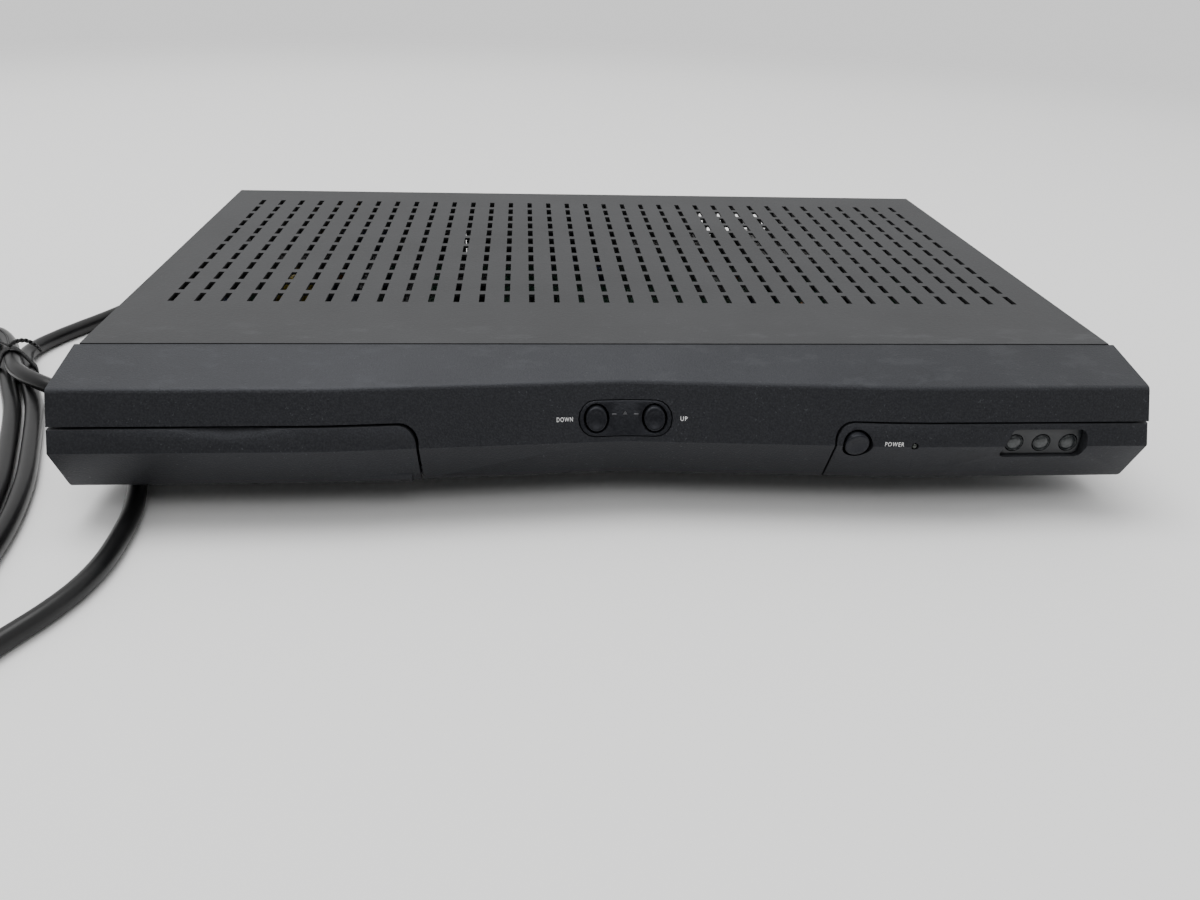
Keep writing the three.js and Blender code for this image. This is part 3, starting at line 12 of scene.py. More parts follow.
import bpy
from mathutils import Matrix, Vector

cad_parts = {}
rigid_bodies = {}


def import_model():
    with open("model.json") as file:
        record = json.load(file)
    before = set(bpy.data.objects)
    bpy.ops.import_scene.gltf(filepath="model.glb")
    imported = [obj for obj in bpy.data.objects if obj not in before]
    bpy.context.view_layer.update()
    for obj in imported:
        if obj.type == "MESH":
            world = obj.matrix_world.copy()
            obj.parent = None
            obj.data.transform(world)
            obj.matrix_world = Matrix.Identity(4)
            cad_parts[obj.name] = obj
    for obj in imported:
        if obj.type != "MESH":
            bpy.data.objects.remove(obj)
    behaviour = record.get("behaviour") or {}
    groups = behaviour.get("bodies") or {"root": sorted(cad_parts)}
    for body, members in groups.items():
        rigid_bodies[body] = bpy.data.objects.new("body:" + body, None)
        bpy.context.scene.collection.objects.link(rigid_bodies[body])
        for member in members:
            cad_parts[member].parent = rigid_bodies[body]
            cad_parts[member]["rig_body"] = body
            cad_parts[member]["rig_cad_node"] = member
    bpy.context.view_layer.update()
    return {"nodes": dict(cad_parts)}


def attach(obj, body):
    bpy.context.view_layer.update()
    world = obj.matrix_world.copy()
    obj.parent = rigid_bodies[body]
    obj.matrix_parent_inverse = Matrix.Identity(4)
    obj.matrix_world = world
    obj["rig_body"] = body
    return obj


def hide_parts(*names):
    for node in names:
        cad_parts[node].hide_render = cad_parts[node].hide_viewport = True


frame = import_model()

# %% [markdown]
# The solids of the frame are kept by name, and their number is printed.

nodes = frame["nodes"]
print("solids in the frame:", len(nodes))

# %% [markdown]
# ## The camera
# The camera stands in front and a little to the left of the receiver, about 0.4 m away, and looks
# down on it by 29 degrees. A phone-like wide lens gives the cover its strong taper towards the
# back. Its angles were worked out from the regular grid of slots in the cover.

# %% Camera
MM = 0.001


def metres(x, y, z):
    """A point given in millimetres, as the drawings do."""
    return Vector((x, y, z)) * MM


IMAGE_WIDTH = 1200
FOCAL_PIXELS = 943.5
SENSOR_WIDTH = 36
CAMERA_PLACE = metres(-30.93, -393.04, 177.65)
CAMERA_ANGLES = (60.995, -1.764, -4.088)

lens = bpy.data.cameras.new("viewpoint")
lens.sensor_width = SENSOR_WIDTH
lens.lens = FOCAL_PIXELS / IMAGE_WIDTH * SENSOR_WIDTH
lens.clip_start = 0.01
camera = bpy.data.objects.new("viewpoint", lens)
camera.location = CAMERA_PLACE
camera.rotation_euler = [math.radians(angle) for angle in CAMERA_ANGLES]
bpy.context.scene.collection.objects.link(camera)
bpy.context.scene.camera = camera
print("focal length", round(lens.lens, 2), "mm")

# %% [markdown]
# ## The mains lead
# A mains lead is a fixed length of round vinyl cord. It leaves the case through its strain relief,
# drops to the table, and runs to the hank that it was tied into at the factory. Its end dives
# under the front corner of the case, comes out again and ends in the plug. The line is a smooth
# curve through listed points. A centripetal curve is used because it never overshoots
# between two points, however unevenly they are spaced. The corners are in millimetres.

# %% A smooth curve through given points
def hermite(a, b, leaving, arriving, t):
    """Point at share t of the stretch from a to b, with the slopes at its two ends."""
    rise = 3 * (b - a) - 2 * leaving - arriving
    turn = 2 * (a - b) + leaving + arriving
    return a + leaving * t + rise * t ** 2 + turn * t ** 3


def smooth_line(points, closed=False, steps=24):
    """Close points along the centripetal curve through the given points."""
    count = len(points)
    line = []
    for i in range(count if closed else count - 1):
        p1, p2 = points[i], points[(i + 1) % count]
        p0 = points[i - 1] if closed or i > 0 else 2 * p1 - p2
        p3 = points[(i + 2) % count] if closed or i + 2 < count else 2 * p2 - p1
        d0, d1, d2 = (math.sqrt((b - a).length) for a, b in ((p0, p1), (p1, p2), (p2, p3)))
        leaving = ((p1 - p0) / d0 - (p2 - p0) / (d0 + d1) + (p2 - p1) / d1) * d1
        arriving = ((p2 - p1) / d1 - (p3 - p1) / (d1 + d2) + (p3 - p2) / d2) * d1
        line += [hermite(p1, p2, leaving, arriving, k / steps) for k in range(steps)]
    return line + [points[0] if closed else points[-1]]


def length_of(line):
    """Length of a line of points."""
    return sum((b - a).length for a, b in zip(line, line[1:]))


def evenly(line, spacing):
    """The same line with its points an equal distance apart."""
    total = length_of(line)
    count = round(total / spacing)
    spaced, walked, i = [line[0]], 0, 0
    for k in range(1, count):
        wanted = total * k / count
        while walked + (line[i + 1] - line[i]).length < wanted:
            walked += (line[i + 1] - line[i]).length
            i += 1
        part = line[i + 1] - line[i]
        spaced.append(line[i] + part * ((wanted - walked) / part.length))
    return spaced + [line[-1]]


# %% [markdown]
# The hank is one loop followed twice. The second turn lies a cord's width further in, and its end
# rides up over the others where the tie holds them together. How far from the tie each of these
# moves starts is given as a share of a turn.

# %% The hank
CORD_RADIUS = 3.25
FLOOR_Z = 3.3
TIE_Z = 4.4
OVER_Z = 11.6
HANK_PITCH = 7.6
HANK_TURNS = 2
HANK_STEPS = 96
TIE_REACH, CROSS_START = 0.14, 0.2
LIFT_START, LIFT_END = 0.24, 0.093
CROSSED_PITCHES = 1.5
TIE_PLACE = (-243.5, -8)
HANK_CORNERS = [
    TIE_PLACE, (-235, -24), (-226, -41), (-212, -75.5), (-202.3, -102.5), (-195.2, -133),
    (-193, -165), (-198.1, -187.1), (-212.4, -204.8), (-233, -214.4), (-255.7, -214),
    (-276, -203.7), (-289.6, -185.5), (-297, -150), (-300.5, -128), (-306.5, -95), (-312.5, -58),
    (-316.6, -28), (-317.8, -4.5), (-314.4, 10.4), (-304.7, 22.3), (-290.9, 28.8),
    (-275.6, 28.5), (-261.9, 21.5), (-253.2, 10.4),
]


def smoothstep(value, low, high):
    """Rises from 0 at low to 1 at high with no corner."""
    t = min(max((value - low) / (high - low), 0), 1)
    return t * t * (3 - 2 * t)


def hank_line():
    """The two turns of the hank, which climb over each other only near the tie."""
    loop = smooth_line([Vector((x, y, FLOOR_Z)) for x, y in HANK_CORNERS], closed=True)
    loop = evenly(loop, length_of(loop) / HANK_STEPS)[:HANK_STEPS]
    line = []
    for i in range(HANK_STEPS * HANK_TURNS + 1):
        turns = i / HANK_STEPS
        along = (loop[(i + 1) % HANK_STEPS] - loop[(i - 1) % HANK_STEPS]).normalized()
        near = 1 - smoothstep(abs(turns - round(turns)), 0, TIE_REACH)
        over = smoothstep(turns, HANK_TURNS - CROSS_START, HANK_TURNS)
        lift = smoothstep(turns, HANK_TURNS - LIFT_START, HANK_TURNS - LIFT_END)
        inset = HANK_PITCH * (turns - CROSSED_PITCHES * over)
        z = FLOOR_Z + (TIE_Z - FLOOR_Z) * near + (OVER_Z - TIE_Z) * lift
        spot = loop[i % HANK_STEPS]
        line.append(Vector((spot.x + along.y * inset, spot.y - along.x * inset, z)))
    return line


hank = hank_line()
hank_along = (hank[1] - hank[0]).normalized()
print("turns of the hank:", HANK_TURNS, "of about", round(length_of(hank) / HANK_TURNS), "mm each")

# %% [markdown]
# The lead comes down from the case and joins the hank, and the tail leaves it. Both meet it along
# its own direction, so that the cord has no kink there.

# %% The lead, the tail and the whole cord
CORD_X = -150
CORD_Z = 26
EXIT_Y = 143.7
PLUG_Z = 7.3
SEAT = 0.3
STRAIGHT = 2 * CORD_RADIUS
LEAD_CORNERS = [
    (CORD_X, 152, CORD_Z), (-150.4, 161.5, 25.3), (-153.4, 175.5, 22.3), (-162, 187.6, 17.8),
    (-174.5, 192.8, 13), (-188.4, 192.3, 8.8), (-200.6, 185.6, 5.6), (-208.6, 173.8, 3.9),
    (-212.6, 159, FLOOR_Z), (-215.4, 140, FLOOR_Z), (-218.4, 115, FLOOR_Z), (-222.3, 92, FLOOR_Z),
    (-228, 73, FLOOR_Z), (-235.2, 56.6, FLOOR_Z), (-242.4, 43, FLOOR_Z), (-248, 31.4, FLOOR_Z),
    (-251.3, 20, 3.7), (-251.4, 9.6, 4.2),
]
TAIL_CORNERS = [
    (-239.6, -22.4, OVER_Z), (-232.8, -29, 11.4), (-223.6, -34.6, 10.5), (-210.5, -40, 7.6),
    (-198, -47.2, 4.7), (-186.2, -57.5, FLOOR_Z), (-175.6, -76, FLOOR_Z), (-166.9, -99, FLOOR_Z),
    (-161.6, -119.2, FLOOR_Z), (-160.1, -134.7, FLOOR_Z), (-160.3, -149.3, FLOOR_Z),
    (-162.5, -160.9, FLOOR_Z), (-166.9, -172, FLOOR_Z), (-173.5, -184, FLOOR_Z),
    (-181.5, -199, FLOOR_Z), (-190.3, -212.5, FLOOR_Z), (-203, -225.6, FLOOR_Z),
    (-219.5, -234.3, FLOOR_Z), (-238, -237, 5.4),
]
PLUG_JOINT = Vector((-254, -237, PLUG_Z))
PLUG_HEADING = Vector((-1, 0, 0))

joint = hank[0] - hank_along * SEAT
start = hank[-1] + hank_along * SEAT
lead_points = [Vector(corner) for corner in LEAD_CORNERS] + [joint - hank_along * STRAIGHT]
tail_points = [start + hank_along * STRAIGHT] + [Vector(corner) for corner in TAIL_CORNERS]
lead = smooth_line(lead_points, steps=8)
tail = smooth_line(tail_points + [PLUG_JOINT], steps=8)
cord_end = PLUG_JOINT + PLUG_HEADING * STRAIGHT
exit_point = Vector((CORD_X, EXIT_Y, CORD_Z))
cord_line = [exit_point, *lead, *hank, *tail, cord_end]
for place in cord_line:
    place.z = max(place.z, FLOOR_Z)
cord_length = length_of(cord_line)
print("cord length", round(cord_length), "mm")

# %% [markdown]
# A curve with a round bevel makes the cord itself. Its bevel is a metre thick and each point
# scales that down to the cord's radius, because a curve's box is worked out from the points'
# radii, and it would otherwise reach a metre too far on every side.

# %% The cord as a curve
def round_cord(name, lines, radius, resolution):
    """A round cord or wire along lines of points in millimetres."""
    curve = bpy.data.curves.new(name, "CURVE")
    curve.dimensions = "3D"
    curve.bevel_depth = 1
    curve.bevel_resolution = resolution
    curve.use_fill_caps = True
    for line in lines:
        spline = curve.splines.new("POLY")
        spline.points.add(len(line) - 1)
        for point, place in zip(spline.points, line):
            point.co = (*(place * MM), 1)
            point.radius = radius * MM
        spline.use_smooth = True
    piece = bpy.data.objects.new(name, curve)
    bpy.context.scene.collection.objects.link(piece)
    return piece


mains_lead = round_cord("mains_lead", [cord_line], CORD_RADIUS, 6)
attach(mains_lead, "receiver_body")
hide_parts("power_cord", "cord_hank", "cord_tail")

# %% [markdown]
# ## Floor and light
# A plain pale floor and a pale world are all that stands round the receiver. Two large soft lamps
# give the box its shape: the stronger one hangs above it, and a weaker one stands in front.

# %% Floor and lamps
def clear_selection():
    """Leaves edit mode and deselects every object."""
    if bpy.context.object and bpy.context.object.mode != "OBJECT":
        bpy.ops.object.mode_set(mode="OBJECT")
    bpy.ops.object.select_all(action="DESELECT")


FLOOR_SIZE = 3.2
LAMP_SIZE = 1.2

clear_selection()
bpy.ops.mesh.primitive_plane_add(size=FLOOR_SIZE, location=(0, 0, 0))
floor = bpy.context.object
floor.name = "floor"


def lamp(name, place, aim, power):
    """A soft square lamp at a place in metres, turned towards a point."""
    light = bpy.data.lights.new(name, "AREA")
    light.size = LAMP_SIZE
    light.energy = power
    made = bpy.data.objects.new(name, light)
    made.location = place
    made.rotation_euler = (Vector(aim) - Vector(place)).to_track_quat("-Z", "Y").to_euler()
    bpy.context.scene.collection.objects.link(made)


lamp("overhead", (-0.4, 0.2, 1.8), (0, 0, 0), power=26)
lamp("front", (0.3, -1.2, 1.7), (0, -0.2, 0), power=10)

# %% [markdown]
# ## Writing a finish as sums
# A procedural material is a net of nodes. It's easier to read as sums, so one small class wraps a
# socket: plus, minus and times on it add Math nodes, and one method adds any other node.

# %% The class for sockets
class Signal:
    """One output in a material's nodes. Sums on it add Math nodes."""

    def __init__(self, tree, socket=None):
        self.tree = tree
        self.socket = socket

    def node(self, kind, settings=None, inputs=None, output=0):
        """Adds a node: its settings first, then the values or links of its sockets."""
        made = self.tree.nodes.new(kind)
        for name, value in (settings or {}).items():
            setattr(made, name, value)
        for name, value in (inputs or {}).items():
            if isinstance(value, Signal):
                self.tree.links.new(value.socket, made.inputs[name])
            else:
                made.inputs[name].default_value = value
        return Signal(self.tree, made.outputs[output])

    def maths(self, operation, *values):
        """A Math node on this signal and up to two more values."""
        inputs = dict(enumerate((self, *values)))
        return self.node("ShaderNodeMath", {"operation": operation}, inputs)

    def __add__(self, other):
        return self.maths("ADD", other)

    __radd__ = __add__

    def __mul__(self, other):
        return self.maths("MULTIPLY", other)

    def __sub__(self, other):
        return self.maths("SUBTRACT", other)

    def __rsub__(self, other):
        return (self * -1).maths("ADD", other)

    def clamp(self, low=0.0, high=1.0):
        """This signal held between two values."""
        return self.maths("MAXIMUM", low).maths("MINIMUM", high)

    def step(self, low, high):
        """Rises smoothly from 0 at low to 1 at high."""
        settings = {"interpolation_type": "SMOOTHSTEP", "clamp": True}
        inputs = {"Value": self, "From Min": low, "From Max": high, "To Min": 0.0, "To Max": 1.0}
        return self.node("ShaderNodeMapRange", settings, inputs)

    def blend(self, first, second):
        """A colour that goes from the first to the second as this signal goes from 0 to 1."""
        first, second = ((*c, 1) if isinstance(c, tuple) else c for c in (first, second))
        inputs = {0: self, 6: first, 7: second}
        return self.node("ShaderNodeMix", {"data_type": "RGBA"}, inputs, output=2)

    def bump(self, depth, strength=1.0):
        """The normal that this height gives, with its depth in metres."""
        inputs = {"Strength": strength, "Distance": depth, "Height": self}
        return self.node("ShaderNodeBump", None, inputs)


# %% [markdown]
# Every finish starts from the piece's own coordinates in metres, and reads noise of a few sizes.
# The helper makes the material, gives the steady values to the shader's own sockets, and hands
# back the signal that the sums start from.

# %% Helpers that every finish uses
def new_finish(name, **steady):
    """A material, its Principled shader's inputs and the Object coordinates as a signal."""
    material = bpy.data.materials.new(name)
    material.use_nodes = True
    tree = material.node_tree
    shader = tree.nodes["Principled BSDF"]
    for socket, value in steady.items():
        shader.inputs[socket.replace("_", " ")].default_value = value
    place = Signal(tree).node("ShaderNodeTexCoord", output="Object")
    return material, shader, place


def feed(shader, socket, signal):
    """Links a signal to one of the shader's sockets."""
    signal.tree.links.new(signal.socket, shader.inputs[socket])


def noise(place, grain, detail=2.0, rough=0.5):
    """Cloudy noise whose blotches are about one grain across, in metres."""
    inputs = {"Vector": place, "Scale": 1 / grain, "Detail": detail, "Roughness": rough}
    return place.node("ShaderNodeTexNoise", None, inputs)


def stretched(place, scale=(1.0, 1.0, 1.0), turn=(0.0, 0.0, 0.0)):
    """The coordinates scaled and turned."""
    inputs = {"Vector": place, "Rotation": turn, "Scale": scale}
    return place.node("ShaderNodeMapping", None, inputs)


def axis_of(place, axis):
    """One coordinate as a number."""
    return place.node("ShaderNodeSeparateXYZ", None, {"Vector": place}, output=axis)


def facing(place, axis):
    """How far the surface faces along an axis, from -1 to 1."""
    normal = place.node("ShaderNodeNewGeometry", output="True Normal")
    return axis_of(normal, axis)


# %% [markdown]
# ## Textured black paint
# The cover is steel with a black paint that dries to a fine wrinkle. It looks nearly grey where
# light falls on it, because each tiny bump catches some, and on the faces that look up that grey is
# painted into the colour as painted light. Years on a shelf leave a thin veil of dust, some brighter
# specks, and rubbed spots near the front seam. The finish is a sum of noises, each as large as the
# mark that it stands for, and the painted light, the dust, the specks and the rubs lie only where
# the surface faces up.

# %% Black paint
def black_paint():
    """Fine wrinkle paint with dust, specks, rubs and painted light on up-facing faces."""
    material, shader, place = new_finish("black_paint", Specular_IOR_Level=0.4)
    grain = noise(place, 0.0011, 3.0, 0.6)
    coarse = noise(place, 0.0034, 2.0)
    veil = noise(place, 0.055, 4.0, 0.6)
    specks = noise(place, 0.0016, 1.0).step(0.71, 0.78)
    rubs = noise(stretched(place, (1.0, 2.6, 1.0)), 0.014, 5.0, 0.7).step(0.52, 0.68)
    seam = 1 - axis_of(place, "Y").step(-0.0925, -0.062)
    # Painted light: faces that look up get a lighter tone for the light that the wrinkles catch, and
    # the dust lies on them.
    top = facing(place, "Z").step(0.6, 0.95)
    dust_and_painted_light = 0.25 + veil * 1.15 + specks * 0.6 + rubs * seam * 0.9
    marks_and_painted_light = (top * dust_and_painted_light).clamp(0.0, 1.7)
    tone = (0.55 + grain * 0.55) * (0.35 + marks_and_painted_light)
    share = tone.clamp(0.0, 1.8) * (1 / 1.8)
    colour = share.blend((0.005, 0.0052, 0.0056), (0.0575, 0.0588, 0.0622))
    feed(shader, "Base Color", colour)
    feed(shader, "Roughness", (0.5 + grain * 0.2 + marks_and_painted_light * 0.08).clamp(0.0, 0.95))
    feed(shader, "Normal", (grain * 0.7 + coarse * 0.3).bump(0.00022, 0.75))
    return material


# %% [markdown]
# ## Moulded plastic
# The front is moulded in a black plastic, and the tool's surface was etched to a fine grain. Its
# upper edge and its lower band look lighter than the face between them because they lean towards
# the light. On faces that look up, such as the upper edge, a lighter colour is painted in for the
# light that they catch, as painted light, with a little dust on it. A few bright grains keep it from
# being one flat colour, and its reflections are slightly blue.

# %% Moulded plastic
COOL = (0.88, 0.9, 1.0, 1.0)


def etched_plastic(name, dark, light, grain_size=0.0006, gloss=0.5, sparkle=0.5, shine=0.3):
    """Black plastic with an etched grain, sparkling specks, and thin dust and painted light on top."""
    material, shader, place = new_finish(name, Specular_IOR_Level=shine, Specular_Tint=COOL)
    grain = noise(place, grain_size, 2.0, 0.6)
    cloud = noise(place, 0.03, 3.0)
    specks = noise(place, grain_size * 1.3, 0.5).step(0.72, 0.78)
    # Painted light: faces that look up, such as the upper edge, get a lighter colour for the light
    # that they catch, with a little dust.
    level = facing(place, "Z").step(0.5, 1.0)
    rubs = noise(stretched(place, (1.0, 2.0, 1.0)), 0.013, 5.0, 0.7).step(0.52, 0.7)
    speckled = cloud.step(0.45, 0.65) * specks * sparkle
    dust_and_painted_light = level * (0.25 + cloud * 0.5 + rubs * 0.5)
    marks_and_painted_light = dust_and_painted_light + speckled * 5 + (grain - 0.42) * 1.5 + cloud * 0.1
    feed(shader, "Base Color", marks_and_painted_light.clamp(0.0, 3.0).blend(dark, light))
    feed(shader, "Roughness", (gloss - 0.06 + grain * 0.22 - specks * 0.1).clamp(0.05, 0.95))
    feed(shader, "Normal", grain.bump(0.00016, 0.8))
    return material


# %% [markdown]
# ## Vinyl, rubber and clear plastic
# The cord has a soft gloss, with slow waves from the way it was extruded. The feet and the strain
# relief are duller. The window is a smoked plastic so dark that it reads as a solid one, and the
# lenses behind it are cloudy discs.

# %% Vinyl and rubber
def vinyl(name, gloss, colour, wave=0.012, depth=0.0001, shine=0.5):
    """Soft plastic with slow waves and faint smears."""
    material, shader, place = new_finish(name, Specular_IOR_Level=shine)
    waves = noise(place, wave, 2.0)
    smears = noise(place, 0.02, 4.0, 0.65)
    fine = noise(place, 0.0007, 1.0)
    lighter = tuple(min(1.0, c * 2.4 + 0.004) for c in colour)
    feed(shader, "Base Color", (smears.step(0.45, 0.85) * 0.7 + fine * 0.15).blend(colour, lighter))
    feed(shader, "Roughness", (gloss + smears * 0.14).clamp(0.05, 0.95))
    feed(shader, "Normal", (waves + fine * 0.05).bump(depth, 0.5))
    return material


def smoked_plastic(name, colour, lighter, gloss, mottle, coat=0.2):
    """Dark glossy plastic with a soft mottle under its surface."""
    material, shader, place = new_finish(name, Coat_Weight=coat, Coat_Roughness=0.08)
    patches = noise(place, mottle, 3.0, 0.6)
    smears = noise(place, 0.006, 3.0)
    feed(shader, "Base Color", patches.step(0.3, 0.75).blend(colour, lighter))
    feed(shader, "Roughness", (gloss + smears * 0.12).clamp(0.03, 0.95))
    feed(shader, "Normal", patches.bump(0.00005, 0.4))
    return material


# %% [markdown]
# ## Metals
# The tray is zinc plated: pale grey with faint crystals and a rolled grain. The screening cans and
# the connectors are tinned or nickelled, brighter and smoother, with fine scratches.

# %% Metals
def plated(name, colour, gloss, crystal=0.009, scratch=0.5, spread=0.12):
    """Bare plated metal with faint crystals and fine scratches."""
    material, shader, place = new_finish(name, Metallic=1.0)
    inputs = {"Vector": place, "Scale": 1 / crystal}
    cells = place.node("ShaderNodeTexVoronoi", None, inputs, "Color")
    tint = axis_of(cells, "X")
    lines = noise(stretched(place, (1.0, 30.0, 30.0)), 0.02, 3.0)
    cloud = noise(place, 0.025, 4.0, 0.6)
    darker = tuple(c * (1 - 2 * spread) for c in colour)
    mark = (tint * 0.5 + lines * 0.3 + cloud * 0.4).clamp(0.0, 1.0)
    feed(shader, "Base Color", mark.blend(darker, colour))
    feed(shader, "Roughness", (gloss + tint * 0.08 + lines * 0.1).clamp(0.05, 0.9))
    feed(shader, "Normal", lines.bump(0.00003, scratch))
    return material


# %% [markdown]
# ## Circuit boards and parts
# A board is a green lacquer over copper. The tracks show as paler lines on a fine grid, broken by
# gaps, and solder dots sit where they end. Chips are dull black epoxy.

# %% Boards, chips and windings
def circuit_board():
    """Green lacquer over a grid of tracks, with solder dots."""
    material, shader, place = new_finish("circuit_board", Coat_Weight=0.3, Coat_Roughness=0.2)
    settings = {"offset": 0.37, "squash": 0.6, "squash_frequency": 3}
    inputs = {"Vector": place, "Scale": 120.0, "Mortar Size": 0.05, "Mortar Smooth": 0.3}
    across = place.node("ShaderNodeTexBrick", settings, inputs, "Fac")
    turned = stretched(place, turn=(0.0, 0.0, math.radians(90)))
    along = place.node("ShaderNodeTexBrick", settings, {**inputs, "Vector": turned}, "Fac")
    field = noise(place, 0.016, 2.0).step(0.4, 0.55)
    tracks = (field * across + (1 - field) * along).clamp()
    cell = {"Vector": place, "Scale": 260.0, "Randomness": 0.35}
    dots = 1 - place.node("ShaderNodeTexVoronoi", None, cell, "Distance").step(0.18, 0.26)
    dots = dots * noise(place, 0.01, 1.0).step(0.5, 0.56)
    green = tracks.blend((0.006, 0.022, 0.013), (0.02, 0.062, 0.036))
    feed(shader, "Base Color", dots.blend(green, (0.5, 0.5, 0.48)))
    feed(shader, "Metallic", dots * 0.9)
    feed(shader, "Roughness", (0.38 - dots * 0.1).clamp())
    feed(shader, "Normal", (tracks * 0.4 + dots).bump(0.00012, 0.6))
    return material


def wound(name, colour, darker, pitch=0.0008, axis="Z"):
    """Enamelled wire or tape laid in close turns along one axis."""
    material, shader, place = new_finish(name, Coat_Weight=0.3, Coat_Roughness=0.25)
    turns = (axis_of(place, axis) * (2 * math.pi / pitch)).maths("SINE") * 0.5 + 0.5
    cloud = noise(place, 0.008, 3.0)
    feed(shader, "Base Color", (turns * 0.6 + cloud * 0.4).clamp().blend(darker, colour))
    feed(shader, "Roughness", (0.3 + cloud * 0.2).clamp())
    feed(shader, "Normal", turns.bump(0.0002, 0.6))
    return material


def striped_ribbon():
    """A flat cable: grey vinyl with a groove between its wires and one coloured edge."""
    material, shader, place = new_finish("ribbon_vinyl", Specular_IOR_Level=0.4)
    x = axis_of(place, "X")
    turns = (x * (2 * math.pi / 0.00127)).maths("SINE") * 0.5 + 0.5
    edge = 1 - x.step(0.0085, 0.0095)
    body = turns.blend((0.2, 0.205, 0.21), (0.42, 0.43, 0.44))
    feed(shader, "Base Color", edge.blend(body, (0.35, 0.03, 0.03)))
    feed(shader, "Roughness", (0.4 + turns * 0.2).clamp())
    feed(shader, "Normal", turns.bump(0.0003, 0.7))
    return material


# %% [markdown]
# ## The receiver's own finishes
# Each finish is made once, from its colours and its gloss, and then shared by all the pieces that
# have it. Colours are given as shares of light, so black plastic is far below one tenth.

# %% The finishes
paint = black_paint()
front_plastic = etched_plastic(
    "front_plastic", (0.0036, 0.0038, 0.0045), (0.027, 0.0285, 0.031), shine=0.4
)
button_plastic = etched_plastic(
    "button_plastic", (0.0045, 0.0048, 0.006), (0.015, 0.016, 0.019),
    grain_size=0.0009, gloss=0.38, sparkle=0.1,
)
# The moulded marks are the plate's black plastic, painted lighter as a painted highlight.
painted_highlight_plastic = etched_plastic(
    "painted_highlight_plastic", (0.06, 0.06, 0.063), (0.1, 0.1, 0.105),
    grain_size=0.0009, gloss=0.4, sparkle=0.1,
)
cord_vinyl = vinyl("cord_vinyl", 0.24, (0.004, 0.004, 0.0043), shine=0.34)
tie_vinyl = vinyl("tie_vinyl", 0.34, (0.006, 0.006, 0.0065), wave=0.002, depth=0.0004)
foot_rubber = vinyl("foot_rubber", 0.7, (0.009, 0.009, 0.009), 0.004)
smoked = smoked_plastic(
    "smoked_window", (0.006, 0.007, 0.009), (0.011, 0.0125, 0.015), 0.4, 0.004, coat=0.05
)
cloudy = smoked_plastic("cloudy_lens", (0.01, 0.012, 0.013), (0.042, 0.047, 0.049), 0.32, 0.0008)
clear_light = smoked_plastic("clear_light", (0.02, 0.025, 0.02), (0.05, 0.055, 0.05), 0.2, 0.001)
zinc = plated("zinc_plate", (0.4, 0.41, 0.42), 0.36)
tin = plated("tin_plate", (0.42, 0.42, 0.41), 0.3, 0.02)
nickel = plated("nickel_plate", (0.6, 0.59, 0.55), 0.17, 0.004, 0.3, 0.1)
board = circuit_board()
epoxy = vinyl("epoxy", 0.55, (0.011, 0.011, 0.012), 0.002)
socket_black = vinyl("socket_plastic", 0.38, (0.012, 0.012, 0.013), 0.006)
copper_wire = wound("copper_wire", (0.5, 0.2, 0.06), (0.18, 0.06, 0.02))
yellow_tape = wound("yellow_tape", (0.55, 0.42, 0.06), (0.4, 0.28, 0.03), 0.004)
sleeve = vinyl("shrink_sleeve", 0.24, (0.012, 0.02, 0.05), 0.02)
sink = plated("black_sink", (0.05, 0.05, 0.052), 0.4)
ribbon = striped_ribbon()
black_sleeve = vinyl("black_sleeve", 0.26, (0.008, 0.008, 0.009), 0.02)
white_plastic = vinyl("white_plastic", 0.4, (0.6, 0.6, 0.58))
gold = plated("gold_plate", (0.85, 0.6, 0.25), 0.22, 0.004, 0.2, 0.05)
brass = plated("brass_plate", (0.7, 0.62, 0.45), 0.26, 0.006, 0.4, 0.08)
ceramic = vinyl("ceramic", 0.4, (0.32, 0.13, 0.03), 0.004)
laminate = wound("laminate", (0.09, 0.09, 0.095), (0.03, 0.03, 0.032), 0.001, "Y")
striped = wound("striped_resistor", (0.5, 0.36, 0.2), (0.2, 0.05, 0.02), 0.0017, "X")
print("finishes:", [material.name for material in bpy.data.materials])

# %% [markdown]
# ## Finishes for the solids that stay
# A solid whose shape is right keeps it and only takes a finish. The chips and the switches are
# plain epoxy, and so are, for now, the solids that a finer piece replaces further down.

# %% Give each solid its finish
FINISHES = {
    "top_cover": paint,
    "chassis_tray": zinc,
    "main_board": board,
    "power_board": board,
    "front_board": board,
    "power_heatsink": zinc,
    "decoder_heatsink": sink,
    "infrared_receiver": smoked,
    "ribbon_cable": ribbon,
    "s_video_socket": socket_black,
    "phone_socket": socket_black,
    "jack_block": socket_black,
    "card_reader": socket_black,
}


def dress(piece, material):
    """Gives a piece one finish all over."""
    piece.data.materials.clear()
    piece.data.materials.append(material)


for name, node in nodes.items():
    dress(node, FINISHES.get(name, epoxy))
dress(mains_lead, cord_vinyl)
print("solids with a finish of their own:", len(FINISHES))

# %% [markdown]
# ## Rounding the moulded front
# No moulded edge is truly sharp. A copy of each front solid has its loose triangles merged and its
# flat areas joined, so that its real edges can be picked and bevelled. The ends of the front get
# the largest radius, as in the real moulding, and every other edge a small one that catches light.

# %% Copy a solid
def work_on(piece):
    """Makes one piece the only one that operators work on."""
    clear_selection()
    piece.select_set(True)
    bpy.context.view_layer.objects.active = piece


